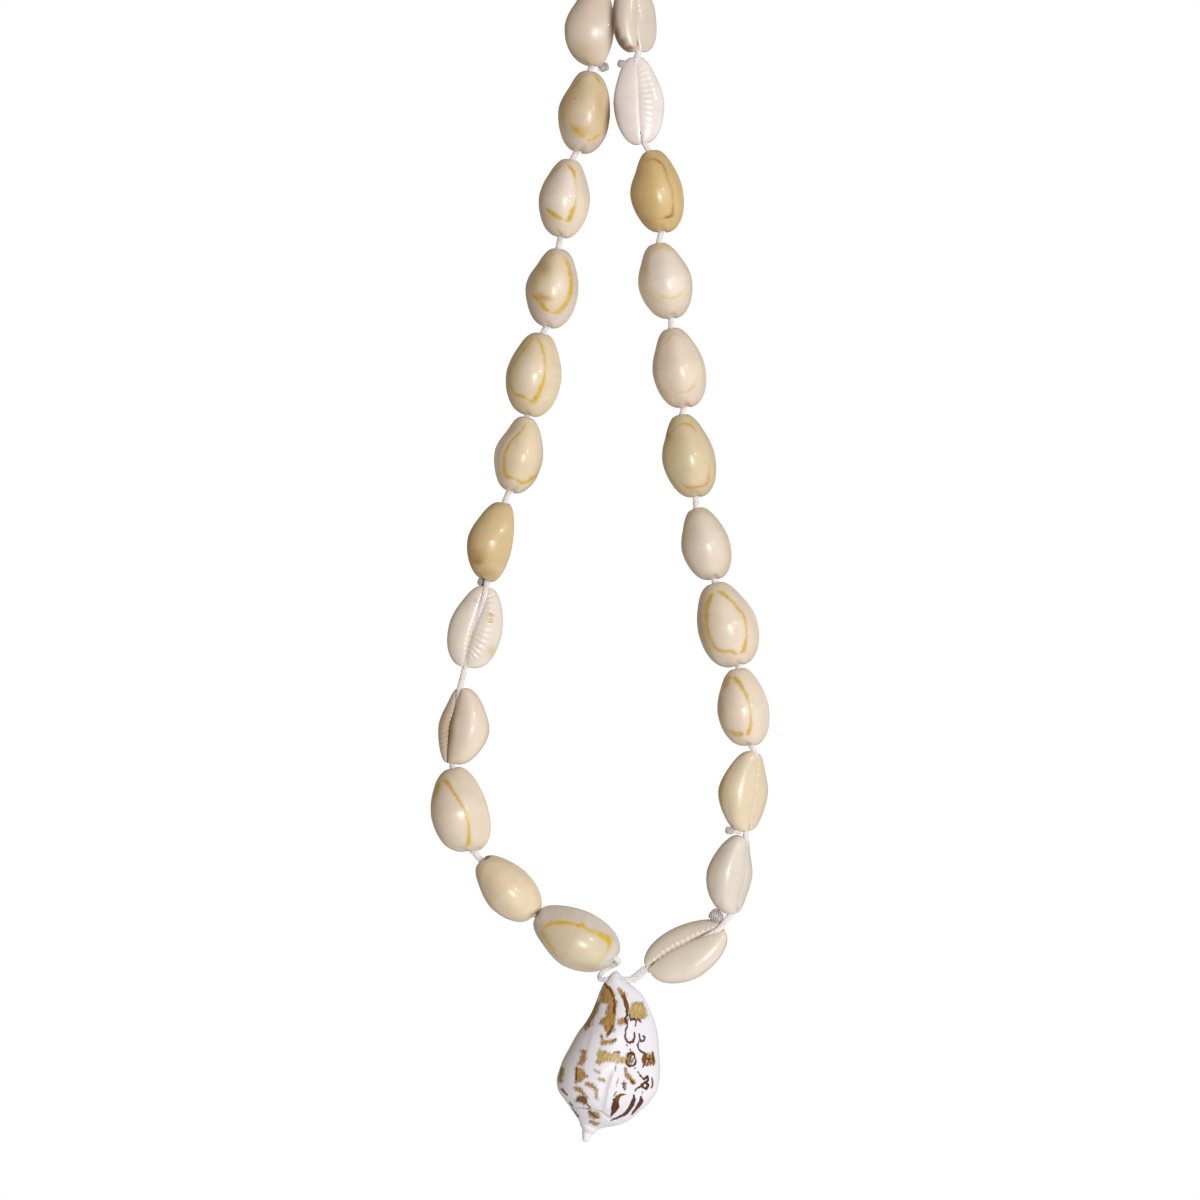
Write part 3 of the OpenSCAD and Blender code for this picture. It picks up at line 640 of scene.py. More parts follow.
# ---------------------------------------------------------------- teeth, cut by Geometry Nodes
def geometry_tree(name, inputs):
    """A tree that takes a mesh and the labelled inputs: the tree, its helper, its inputs and their identifiers."""
    tree = bpy.data.node_groups.new(name, "GeometryNodeTree")
    face = tree.interface
    face.new_socket("Geometry", in_out="INPUT", socket_type="NodeSocketGeometry")
    labels = {label: face.new_socket(label, in_out="INPUT", socket_type="NodeSocket" + kind).identifier
              for label, kind in inputs.items()}
    face.new_socket("Geometry", in_out="OUTPUT", socket_type="NodeSocketGeometry")
    t = Tree(tree)
    return tree, t, t.add("NodeGroupInput").outputs, labels


def end_tree(t, geometry, finish):
    whole = t.add("GeometryNodeRealizeInstances", Geometry=geometry)
    t.add("NodeGroupOutput", Geometry=t.add("GeometryNodeSetMaterial", Geometry=whole, Material=finish))


def teeth_tree():
    """Ridges across the lips of a slit, by the distance run along it that the mesh carries."""
    tree, t, given, labels = geometry_tree(
        "cut_teeth", {"Tooth Height": "Float", "Crown": "Float", "Finish": "Material"})
    wave = t.math("COSINE", t.math("MULTIPLY", t.stored("tooth_run"), 2 * math.pi))
    ridge = t.math("POWER", t.math("MULTIPLY_ADD", wave, 0.5, 0.5), given["Crown"])
    lift = t.math("MULTIPLY", t.math("MULTIPLY", ridge, t.stored("tooth_env")), given["Tooth Height"])
    offset = t.vector("SCALE", t.add("GeometryNodeInputNormal"), Scale=lift)
    end_tree(t, t.add("GeometryNodeSetPosition", Geometry=given["Geometry"], Offset=offset), given["Finish"])
    return tree, labels


def applied(piece, modifier):
    """The plain mesh that a modifier makes of a piece. The modifier is taken away."""
    bpy.context.view_layer.update()
    graph = bpy.context.evaluated_depsgraph_get()
    made = bpy.data.meshes.new_from_object(piece.evaluated_get(graph), preserve_all_data_layers=True, depsgraph=graph)
    piece.modifiers.remove(modifier)
    return made


def apply_tree(piece, tree, labels, values):
    """Gives a piece the plain mesh that a tree makes of it."""
    modifier = piece.modifiers.new("made", "NODES")
    modifier.node_group = tree
    for label, value in values.items():
        modifier[labels[label]] = value
    piece.update_tag()
    made = applied(piece, modifier)
    made.name = piece.data.name
    piece.data = made
    made.shade_smooth()


TEETH, TEETH_LABELS = teeth_tree()
for name, piece in cowries.items():
    apply_tree(piece, TEETH, TEETH_LABELS, {"Tooth Height": 1.0 * MM, "Crown": 1.4, "Finish": GLAZE})
    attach(piece, "strand")
    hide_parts("cowrie_" + name)


# ---------------------------------------------------------------- braided cord and knots
BRAID_SIZES = ("Step", "Half Width", "Half Depth", "Turn Length", "Weave Depth", "Strand Radius", "Taper", "Rounding",
               "Core")


def braid_tree():
    """A hollow braid of two families of strands round a core, along the edges that it is given."""
    tree, t, size, labels = geometry_tree(
        "braided_cord", {"Strands": "Int", **dict.fromkeys(BRAID_SIZES, "Float"), "Finish": "Material"})
    route = t.add("GeometryNodeMeshToCurve", Mesh=size["Geometry"])
    path = t.add("GeometryNodeResampleCurve", {"mode": "LENGTH"}, Curve=route, Length=size["Step"])
    copies = t.add("GeometryNodeDuplicateElements", {"domain": "SPLINE"}, Geometry=path, Amount=size["Strands"])
    number = copies.outputs[1]
    family = t.math("MULTIPLY", size["Strands"], 0.5)
    second = t.math("GREATER_THAN", number, t.math("SUBTRACT", family, 0.5))
    way = t.math("MULTIPLY_ADD", second, -2.0, 1.0)
    place = t.add("GeometryNodeSplineParameter")
    run = t.math("DIVIDE", place.outputs["Length"], size["Turn Length"])
    start = t.math("DIVIDE", t.math("MODULO", number, family), family)
    angle = t.math("MULTIPLY", t.math("MULTIPLY_ADD", run, way, start), 2 * math.pi)
    weave = t.math("COSINE", t.math("MULTIPLY", t.math("MULTIPLY", run, family), 2 * math.pi))
    lift = t.math("MULTIPLY", t.math("MULTIPLY", weave, way), size["Weave Depth"])
    from_middle = t.math("SUBTRACT", place.outputs["Factor"], 0.5)
    taper = t.math("MULTIPLY_ADD", from_middle, size["Taper"], 1.0)
    far_out = t.math("POWER", t.math("ABSOLUTE", t.math("MULTIPLY", from_middle, 2.0)), 5.0)
    rounded = t.math("SQRT", t.math("SUBTRACT", 1.0, t.math("MULTIPLY", far_out, size["Rounding"])))
    full = t.math("MULTIPLY", taper, rounded)
    flat_width = t.math("MULTIPLY_ADD", size["Half Width"], t.stored("spread"), lift)
    wide = t.math("MULTIPLY", t.math("MULTIPLY", flat_width, full), t.math("COSINE", angle))
    deep = t.math("MULTIPLY", t.math("MULTIPLY", t.math("ADD", size["Half Depth"], lift), full), t.math("SINE", angle))
    tangent = t.add("GeometryNodeInputTangent")
    side = t.vector("NORMALIZE", t.vector("CROSS_PRODUCT", tangent, _1=(0, 1, 0)))
    front = t.vector("CROSS_PRODUCT", side, _1=tangent)
    offset = t.vector("ADD", t.vector("SCALE", side, Scale=wide), _1=t.vector("SCALE", front, Scale=deep))
    kept = t.add("GeometryNodeSetPosition", Geometry=copies, Offset=offset)
    for label, value in (("strand_run", place.outputs["Length"]), ("strand_number", number)):
        kept = t.add("GeometryNodeStoreNamedAttribute", {"data_type": "FLOAT"}, Geometry=kept, Name=label, Value=value)

    def swept(curve, sides, radius, scale):
        hoop = t.add("GeometryNodeCurvePrimitiveCircle", Resolution=sides, Radius=radius)
        return t.add("GeometryNodeCurveToMesh", Curve=curve, Profile_Curve=hoop, Scale=scale, Fill_Caps=True)

    both = t.add("GeometryNodeJoinGeometry")
    for part in (swept(path, 8, size["Core"], full), swept(kept, 5, size["Strand Radius"], 1.0)):
        t.links.new(part.outputs[0], both.inputs[0])
    end_tree(t, both, size["Finish"])
    return tree, labels


def eased_route(corners, step=0.3, ease=5):
    """Points every step along straight runs between corners, in mm, with the corners eased."""
    corners = np.array(corners, float)
    runs = np.linalg.norm(np.diff(corners, axis=0), axis=1)
    far = np.concatenate([[0], np.cumsum(runs)])
    at = np.linspace(0, far[-1], int(far[-1] / step) + 1)
    line = np.stack([np.interp(at, far, corners[:, i]) for i in range(3)], -1)
    padded = np.concatenate([2 * line[:1] - line[ease:0:-1], line, 2 * line[-1:] - line[-2:-ease - 2:-1]])
    kernel = np.hanning(2 * ease + 3)[1:-1]
    return np.stack([np.convolve(padded[:, i], kernel / kernel.sum(), "valid") for i in range(3)], -1)


def along_shell(row, s, lift=0.0):
    """A point on the bore's axis of a shell, in mm, or so far from it towards the slit."""
    cl, sl, ct, st = turn_of(row)
    across, along = np.array([cl, 0, sl]), np.array([sl, 0, -cl])
    out = st * across - ct * np.array([0, 1, 0])
    return shell_place(row)[1] - (BORE_DEPTH + lift) * out + s * row[LENGTH] / 2 * along


# How far the cord lies from the bore's axis towards the slit, in mm, at the shell's upper end, middle and lower end
LIFTS = {("left", 10): (1.6, 1.3, 0.8), ("left", 11): (1.2, 0, 0.4), ("right", 3): (0, 0, 0.7),
         ("right", 4): (1.3, 0, 0.6), ("right", 12): (1.4, 0.3, 0.8), ("right", 13): (1.0, 0, 0.7),
         ("right", 14): (1.5, 0.6, 0)}
# Corners of each strand's way from its last shell to the pendant's hole, and of the stretch through the hole
LEFT_END = [[2, 1.2, -360.3], [1.5, 3.6, -361.2], [-0.7, 4.9, -362.3], [-2.9, 4.2, -363.8], [-3.9, 2.5, -365.2],
            [-3.6, 1.0, -366], [-2.5, 0.8, -366]]
RIGHT_END = [[9.8, 0.2, -362.8], [8.3, 0.5, -364.3], [7.1, 0.7, -365.4], [6.1, 0.8, -366]]
HOLE_WAY = [[-2.4, 0.8, -366], [6.1, 0.8, -366]]
# Arch over the hook: its radius, the cord's thickness and the straight stretch below each side
ARCH_R, THREAD_D, LEG = 8.2, 1.8, 4
ARCH_Z = THREAD_D / 2 - ARCH_R
# How far along a shell its stretch of the cord goes, as a share of half the length
CORD_END = 0.9


def strand_route(rows, side, end):
    corners = [[(-1 if side == "left" else 1) * ARCH_R, 0, ARCH_Z - LEG]]
    for i, row in enumerate(rows, 1):
        lifts = LIFTS.get((side, i), (0, 0, 0))
        corners += [along_shell(row, s, np.interp(s, (-CORD_END, 0, CORD_END), lifts))
                    for s in (-CORD_END, -0.4, 0, 0.4, CORD_END)]
    return eased_route(corners + end)


def arch_route():
    bend = [[ARCH_R * math.cos(a), 0, ARCH_Z + ARCH_R * math.sin(a)] for a in np.linspace(math.pi, 0, 60)]
    return eased_route([[-ARCH_R, 0, ARCH_Z - LEG]] + bend + [[ARCH_R, 0, ARCH_Z - LEG]], ease=2)


def make_braid(name, route, sizes, spread=1.0):
    """A braid along a route in mm. Spread is how much wider than the cord it lies, at each point or all along."""
    edges = [(i, i + 1) for i in range(len(route) - 1)]
    mesh = bpy.data.meshes.new(name)
    mesh.from_pydata([tuple(v) for v in np.asarray(route) * MM], edges, [])
    put_value(mesh, "spread", np.full(len(route), spread) if np.isscalar(spread) else spread)
    piece = bpy.data.objects.new(name, mesh)
    bpy.context.scene.collection.objects.link(piece)
    apply_tree(piece, BRAID, BRAID_LABELS, sizes)
    return piece


def cord_material(name, low, high):
    """White braided yarn: matt filaments that run along each strand, a little greyer here and there by noise."""
    mat, t = new_material(name)
    place = t.add("ShaderNodeTexCoord").outputs["Object"]
    number = t.math("MULTIPLY", t.read("strand_number"), 0.01)
    along = t.noise(t.add("ShaderNodeCombineXYZ", X=t.read("strand_run"), Y=number), 900.0, dimensions="2D")
    shade = t.ramp(t.blend(along, t.noise(place, 700.0, 3.0), 0.5), 0.3, 0.7)
    t.surface(Base_Color=t.mix(shade, tone4(low), tone4(high)),
              Normal=t.bump(t.noise(place, 5200.0), 0.35, 0.0001), Roughness=0.55, Sheen_Weight=0.3)
    return mat


BRAID, BRAID_LABELS = braid_tree()
YARN = cord_material("white_yarn", "yarn_grey", "yarn")
# The knots get a darker grey yarn: painted shade, as they lie in shadow beside the shells
KNOT_SHADED_YARN = cord_material("knot_shaded_yarn", "knot_shade_grey", "knot_shade_pale")
CORD = {"Strands": 12, "Step": 0.32 * MM, "Half Width": 0.58 * MM, "Half Depth": 0.4 * MM, "Turn Length": 7.2 * MM,
        "Weave Depth": 0.05 * MM, "Strand Radius": 0.33 * MM, "Taper": 0.0, "Rounding": 0.0, "Core": 0.45 * MM,
        "Finish": YARN}
cords = {
    "thread_left": strand_route(LEFT, "left", LEFT_END),
    "thread_right": strand_route(RIGHT, "right", RIGHT_END),
    "thread_hanger": arch_route(),
    "thread_pendant": eased_route(HOLE_WAY),
}
for node, route in cords.items():
    low = smooth(-route[:, 2], 361.5, 363.5)
    spread = {"thread_left": 1 - 0.35 * low, "thread_right": 1 + 0.6 * low}.get(node, 1.0)
    piece = make_braid(node.replace("thread", "braid"), route, CORD, spread)
    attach(piece, "strand")
    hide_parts(node)

# Tied ends: where the loop leaves the cord, both ends of the knot's woven body, and its radius at both ends
KNOTS = [
    [(-4.2, 0.6, -92.7), (-3.6, 0.6, -92.6), (-1.2, 0.6, -91.6), 1.3, 1.3],
    [(7.0, 2.4, -90.2), (4.0, -0.4, -91.3), (1.8, -0.8, -91.1), 1.15, 1.15],
    [(-37.5, 1.6, -247.0), (-37.8, 1.6, -246.9), (-40.2, 1.6, -246.3), 1.2, 1.2],
    [(38.8, -1.2, -321.7), (36.5, -1.2, -321.3), (34.1, -1.2, -320.9), 1.1, 1.1],
    [(33.2, 0.4, -349.4), (32.8, 0.4, -348.2), (29.8, 0.4, -345.6), 1.7, 2.0],
]


def join_pieces(main, extra):
    """Puts the mesh of one piece into another's and takes the first away."""
    with bpy.context.temp_override(active_object=main, selected_editable_objects=[main, extra], object=main):
        bpy.ops.object.join()
    return main


for i, (loop, near, far, r_near, r_far) in enumerate(KNOTS, 1):
    radius = (r_near + r_far) / 2
    body = eased_route([near, far], ease=1)
    knot = make_braid(f"tied_end_{i}", body, {
        "Strands": 16, "Step": 0.2 * MM, "Half Width": (radius - 0.2) * MM, "Half Depth": (radius - 0.3) * MM,
        "Turn Length": 7.0 * MM, "Weave Depth": 0.06 * MM, "Strand Radius": 0.21 * MM,
        "Taper": (r_far - r_near) / radius, "Rounding": 0.9, "Core": (radius - 0.4) * MM, "Finish": KNOT_SHADED_YARN})
    link = make_braid(f"loop_{i}", eased_route([loop, near, far], ease=1), {
        **CORD, "Half Width": 0.4 * MM, "Half Depth": 0.36 * MM, "Strand Radius": 0.2 * MM, "Core": 0.3 * MM})
    knot = join_pieces(knot, link)
    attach(knot, "strand")
    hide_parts(f"knot_{i}")

# ---------------------------------------------------------------- pendant shell
# Its upper end and lean, as in the part's source, and its length
PENDANT_TOP, PENDANT_TILT, PENDANT_LEN = (6.7, 1.2, -364.7), 14.8, 52.2
# Middle and width of the drilled hole, and half the drill's own length in metres and its sides
PIVOT, HOLE_D, DRILL_HALF, DRILL_SIDES = (1.8, 0.8, -366), 2.4, 0.02, 32
# How much thinner the lip's side is, and where along the shell the mouth starts and ends
LIP_THIN, MOUTH = 0.2, (8, 39)
# Angles in degrees round the shell between which the mouth sinks in and comes out again
MOUTH_IN, MOUTH_OUT = (272, 296), (336, 350)
# Where the rounding of the upper end ends, where the tip's starts and how far that runs
CROWN_ROUND, TIP_FROM, TIP_ROUND = 0.9, 50.9, 1.3
# Distance along it, reach to the left and to the right, and depth in front and behind, in mm
ALONG, REACH_L, REACH_R, FRONT, BACK = range(5)
PENDANT = [
    [0.4, -6.2, -4.4, 1, 1], [1.4, -6.9, -3.4, 1.9, 1.9], [2.8, -7.6, -0.5, 2.8, 2.8], [4.6, -8.2, 3.2, 3.4, 3.4],
    [6.6, -8.7, 5.4, 4.4, 4.4], [9.5, -9, 7.8, 6, 5.8], [13, -9.4, 10.2, 7.6, 7.4], [17, -10.4, 12, 9, 8.8],
    [21, -12, 13.3, 9.8, 10], [26, -13.3, 14.9, 10.7, 11], [31, -14.4, 15.5, 11.4, 11.4],
    [35.5, -14.6, 14.2, 11.4, 10.8], [39, -13.4, 12, 10.3, 9.6], [41.5, -10.6, 10.4, 8.2, 8.2],
    [44, -7.6, 8, 6.2, 6.2], [45.6, -5.9, 5, 4.4, 4.4], [47.2, -4.4, 1.8, 3, 3], [49.2, -3.2, 0.3, 1.7, 1.7],
    [51, -2.7, -0.4, 1.2, 1.2],
]

# Painted marks of the pendant in mm across and along it from its top. A patch is filled: tone, points. A stroke is
# drawn: tone, points with the half width at each. The soft washes lie under the dark marks.
WASHES = [
    ("tawny", (-8, 4.5), (-6.4, 5.2), (-4.8, 6.4), (-4.3, 7.6), (-3.3, 8.5), (-3, 10), (-2.5, 12.8), (-4, 13.6),
     (-5.2, 12.4), (-5.5, 9.7), (-6.8, 8.4), (-8.2, 7.6)),
    ("honey", (-8.2, 7.2), (-6.8, 7.6), (-5.2, 9.2), (-5.6, 10), (-6.9, 9.8), (-8.3, 10.2)),
    ("honey", (-5.4, 12), (-2.6, 12.4), (-2.4, 15), (-2, 16.4), (-2.9, 18), (-3.4, 19.2), (-4.1, 17.4), (-5.2, 16.1),
     (-6.8, 15.9), (-6.2, 14.6), (-5.2, 13.6)),
    ("honey", (-8.4, 10.4, 0.4), (-9.2, 14, 0.7), (-10, 18.6, 0.45)),
    ("honey", (-5, 19.2), (-4.2, 20.2), (-3, 20.2), (-1.6, 19.8), (-0.9, 19.2), (-1.2, 20.5), (-2.6, 21.1),
     (-4.2, 21.7), (-5, 21.2)),
    ("honey", (-3.6, 4.9, 0.2), (-2.4, 5.8, 0.5), (-1.5, 6.6, 0.6)),
    ("wheat", (1.5, 8.2), (3.1, 7.2), (4.3, 7.3), (5.2, 8.3), (6.6, 10.4), (5.7, 11.5), (4.3, 11.9), (2.6, 12),
     (1.3, 11.1), (1, 9.6)),
    ("honey", (-1.4, 13.6), (-0.4, 12.8), (1.3, 12.5), (1.2, 14), (0.2, 14.2), (-1.2, 14.6)),
    ("wheat", (-4.8, 23.5), (-3.1, 23.5), (-0.7, 23.8), (-0.2, 22.8), (1.1, 22.6), (1.2, 23.8), (3.9, 23.8),
     (3.8, 25.2), (1.7, 25.7), (-0.7, 25.7), (-3.1, 26.4), (-3.6, 27.3), (-4.6, 26.9)),
    ("honey", (4, 22.4), (5.4, 22.2), (5.2, 25.6), (4.1, 25.2)),
    ("honey", (9.8, 21.3), (11.2, 21), (12, 22.8), (12.2, 24), (10.4, 24.4)),
    ("honey", (-9.8, 25), (-8.4, 25), (-8, 27.1), (-8.1, 28.5), (-8.6, 29.2), (-9.9, 29.2), (-9.3, 28.2),
     (-9.3, 26.4)),
    ("honey", (-10, 30.4), (-8.1, 30.2), (-7.1, 31.4), (-5.9, 31.9), (-7.1, 32.6), (-7.9, 34), (-9.4, 34.7),
     (-9, 33.4), (-9.6, 32.2)),
    ("honey", (-5.6, 34, 0.4), (-4.6, 33.9, 0.5), (-2.3, 35.2, 0.3)),
    ("honey", (-8.8, 36.2, 0.3), (-7.2, 36.5, 0.45), (-5.6, 37.6, 0.25)),
    ("honey", (-14, 32.4, 0.4), (-13.4, 35.6, 0.45)),
    ("wheat", (-2.6, 31.6, 0.2), (-0.8, 31.9, 0.15)),
    ("wheat", (-4.4, 29.5, 0.05), (-3.2, 29.9, 0.1)),
    ("bark", (-7.6, 39.9), (-6.8, 38.2), (-4.8, 37.8), (-4.3, 39.2), (-4.8, 40.2)),
    ("wheat", (-2.2, 35.8, 0.3), (-1.6, 37.6, 0.2)),
    ("honey", (-2.9, 42.1), (-0.2, 41.9), (0.8, 43.3), (-0.6, 44), (-2.1, 43.9)),
    ("honey", (-1.4, 45.4, 0.3), (-0.4, 45.7, 0.4), (0.8, 45.3, 0.25)),
    ("honey", (4.4, 27, 0.25), (5.2, 28.6, 0.45), (6.8, 29.6, 0.5), (8, 30.5, 0.2)),
]
INKS = [
    ("bark", (-7.9, 4.7, 0.2), (-6.2, 5.5, 0.4), (-4.6, 7.2, 0.2), (-3.6, 9.2, 0.3), (-3.1, 12, 0.25)),
    ("bark", (-1.6, 6.5, 0.4), (-0.7, 7.9, 0.55), (0, 9, 0.6), (0.7, 10.4, 0.3)),
    ("bark", (-2.7, 15.6, 0.3), (-3.2, 18.2, 0.35)),
    ("bark", (-1.7, 20.1, 0.12), (-0.9, 19.2, 0.3)),
    ("bark", (-0.4, 22.9, 0.15), (1, 22.7, 0.25)),
    ("umber", (0.2, 10.4, 0.2), (0.9, 11.5, 0.3), (0.3, 12.6, 0.25), (1, 13.4, 0.3), (1.6, 14.2, 0.15)),
    ("umber", (1.4, 11.4, 0.15), (2.3, 12.6, 0.28), (3.3, 12.1, 0.2), (3.9, 12.8, 0.22), (4, 14.1, 0.12)),
    ("bark", (4.3, 12, 0.25), (5.5, 12.6, 0.15)),
    ("umber", (1.7, 14.4, 0.15), (1.4, 16.1, 0.2), (1.8, 17.8, 0.25), (2.6, 18.9, 0.35), (3.7, 19.2, 0.35),
     (4.4, 18.6, 0.35), (4.6, 17.3, 0.2), (4.1, 15.9, 0.12)),
    ("umber", (5.7, 16, 0.12), (6.2, 17.3, 0.2), (6.9, 18.1, 0.2), (7.6, 17.7, 0.2), (7.6, 16.6, 0.18),
     (6.9, 16.4, 0.12)),
    ("umber", (6.2, 18, 0.12), (6, 19.4, 0.18), (6.7, 20.4, 0.15), (8, 21.1, 0.25)),
    ("umber", (4.3, 21, 0.15), (4.2, 21.3, 0.1)),
    ("umber", (2.8, 19.9, 0.12), (3.1, 20.1, 0.12)),
    ("umber", (4.1, 22.4, 0.3), (4.8, 21.9, 0.4), (5.7, 22.3, 0.32), (6.4, 23.3, 0.22), (6.9, 24.5, 0.25),
     (6.4, 25.5, 0.2), (5.2, 25.9, 0.28), (4.3, 25.4, 0.3), (4, 24.2, 0.2), (4.1, 22.8, 0.2)),
    ("bark", (5, 22.8, 0.2), (4.9, 24.4, 0.1)),
    ("bark", (5.8, 23.3, 0.12), (5.7, 24.6, 0.1)),
    ("umber", (7.1, 26.1, 0.18), (7.2, 26.2, 0.1)),
    ("bark", (8.3, 21, 0.2), (9, 21.6, 0.6), (9.1, 23, 0.75), (9.5, 24.4, 0.4), (9.3, 25.3, 0.15)),
    ("bark", (11, 20.4, 0.15), (11.7, 22.2, 0.35), (12.4, 23.9, 0.15)),
    ("bark", (10.4, 21.6, 0.15), (10.6, 24.6, 0.2)),
    ("bark", (9.8, 22.6, 0.2), (11.6, 22.5, 0.12)),
    ("bark", (9.8, 23.8, 0.15), (11.8, 23.6, 0.12)),
    ("bark", (6.4, 29.5, 0.15), (7.8, 30.6, 0.35)),
    ("taupe", (3, 30.2, 0.1), (2.9, 31.6, 0.12), (3.1, 32.8, 0.08)),
    ("bark", (4.3, 31.5, 0.12), (6, 30.9, 0.1)),
    ("bark", (4.9, 30.6, 0.1), (5, 32.4, 0.18)),
    ("bark", (5.6, 31.2, 0.12), (5.7, 33, 0.2)),
    ("taupe", (3.4, 34, 0.08), (3, 35.6, 0.12)),
    ("taupe", (1.2, 27, 0.12), (1.6, 28.2, 0.1)),
    ("umber", (8.1, 26.9, 0.1), (9.2, 27.9, 0.18), (10.5, 28.8, 0.25)),
    ("umber", (10.6, 28.7, 0.3), (11.3, 27.7, 0.32), (11.9, 28.7, 0.25), (11.5, 29.5, 0.35)),
    ("umber", (10.3, 30.5, 0.35), (11.2, 29.6, 0.3), (12.3, 30.2, 0.3), (12, 31.5, 0.3), (11, 31.2, 0.28),
     (10.4, 30.6, 0.3)),
    ("umber", (12.7, 27.8, 0.1), (13.2, 28.8, 0.18), (13.6, 30.2, 0.2), (13.3, 30.9, 0.1)),
    ("umber", (10.2, 31, 0.2), (9, 31.9, 0.15), (8.9, 32.7, 0.12)),
    ("umber", (11.1, 32.3, 0.1), (11.1, 33.2, 0.06)),
    ("bark", (6.3, 34.3, 0.15), (5, 34.8, 0.4), (4.1, 35.8, 0.6), (4.2, 37, 0.7)),
    ("umber", (3.3, 36.5, 0.35), (4, 37.2, 0.95), (4.3, 38.6, 1.15), (4.2, 39.8, 0.85), (4, 41, 0.5),
     (3.9, 41.9, 0.2)),
    ("umber", (8.8, 34.1, 0.2), (9.2, 35.4, 0.55), (9, 37.2, 0.62), (8.5, 39, 0.52), (7.6, 40.6, 0.45),
     (5.9, 42, 0.32), (4.1, 43.5, 0.1)),
    ("umber", (11, 34.1, 0.2), (11.5, 35.4, 0.6), (11, 37, 0.6), (10.4, 38.6, 0.4), (9.8, 40.3, 0.15)),
    ("bark", (-7, 39.6, 0.3), (-5.9, 38.8, 0.8), (-4.9, 39.2, 0.5)),
    ("bark", (-4.5, 40, 0.15), (-2.7, 40.8, 0.12), (-3.8, 41.6, 0.12)),
    ("bark", (-12.3, 38.1, 0.35), (-10.6, 39.1, 0.25)),
    ("bark", (-9, 41.4, 0.25), (-8.3, 42, 0.35)),
    ("bark", (-8, 43.3, 0.35), (-5.8, 44.8, 0.4)),
    ("bark", (-2.6, 42.3, 0.2), (-0.2, 43.6, 0.25)),
    ("bark", (-9.8, 30.7, 0.1), (-9.4, 32.6, 0.15), (-9.2, 34.3, 0.1)),
    ("taupe", (-8.5, 42.9, 0.02), (-5.2, 41.8, 0.06), (-0.7, 41.1, 0.06), (1.2, 41.3, 0.06), (2.9, 42.1, 0.06),
     (5, 42.8, 0.02)),
]


def ease_through(xs, ys, at):
    """A smooth curve through the points that doesn't swing past them."""
    xs, ys = np.asarray(xs, float), np.asarray(ys, float)
    h, d = np.diff(xs), np.diff(ys) / np.diff(xs)
    between = np.where(d[:-1] * d[1:] > 0, 2 * d[:-1] * d[1:] / (d[:-1] + d[1:] + 1e-12), 0)
    slope = np.concatenate([d[:1], between, d[-1:]])
    i = np.clip(np.searchsorted(xs, at, "right") - 1, 0, len(xs) - 2)
    t = (at - xs[i]) / h[i]
    return ((2 * t ** 3 - 3 * t ** 2 + 1) * ys[i] + (t ** 3 - 2 * t ** 2 + t) * h[i] * slope[i]
            + (3 * t ** 2 - 2 * t ** 3) * ys[i + 1] + (t ** 3 - t ** 2) * h[i] * slope[i + 1])


def mark_far(px, py, marks):
    """Distance to the nearest mark's edge, negative inside it, and that mark's tone, for many places."""
    best = np.full(px.shape, 9.0)
    shade = np.tile(tone("porcelain"), px.shape + (1,))
    for name, *points in marks:
        filled = len(points[0]) == 2
        far, wide, inside = line_far(px, py, points, closed=filled)
        far = np.where(inside, -far, far) if filled else far - wide
        near = far < best
        best = np.where(near, far, best)
        shade[near] = tone(name)
    return best, shade


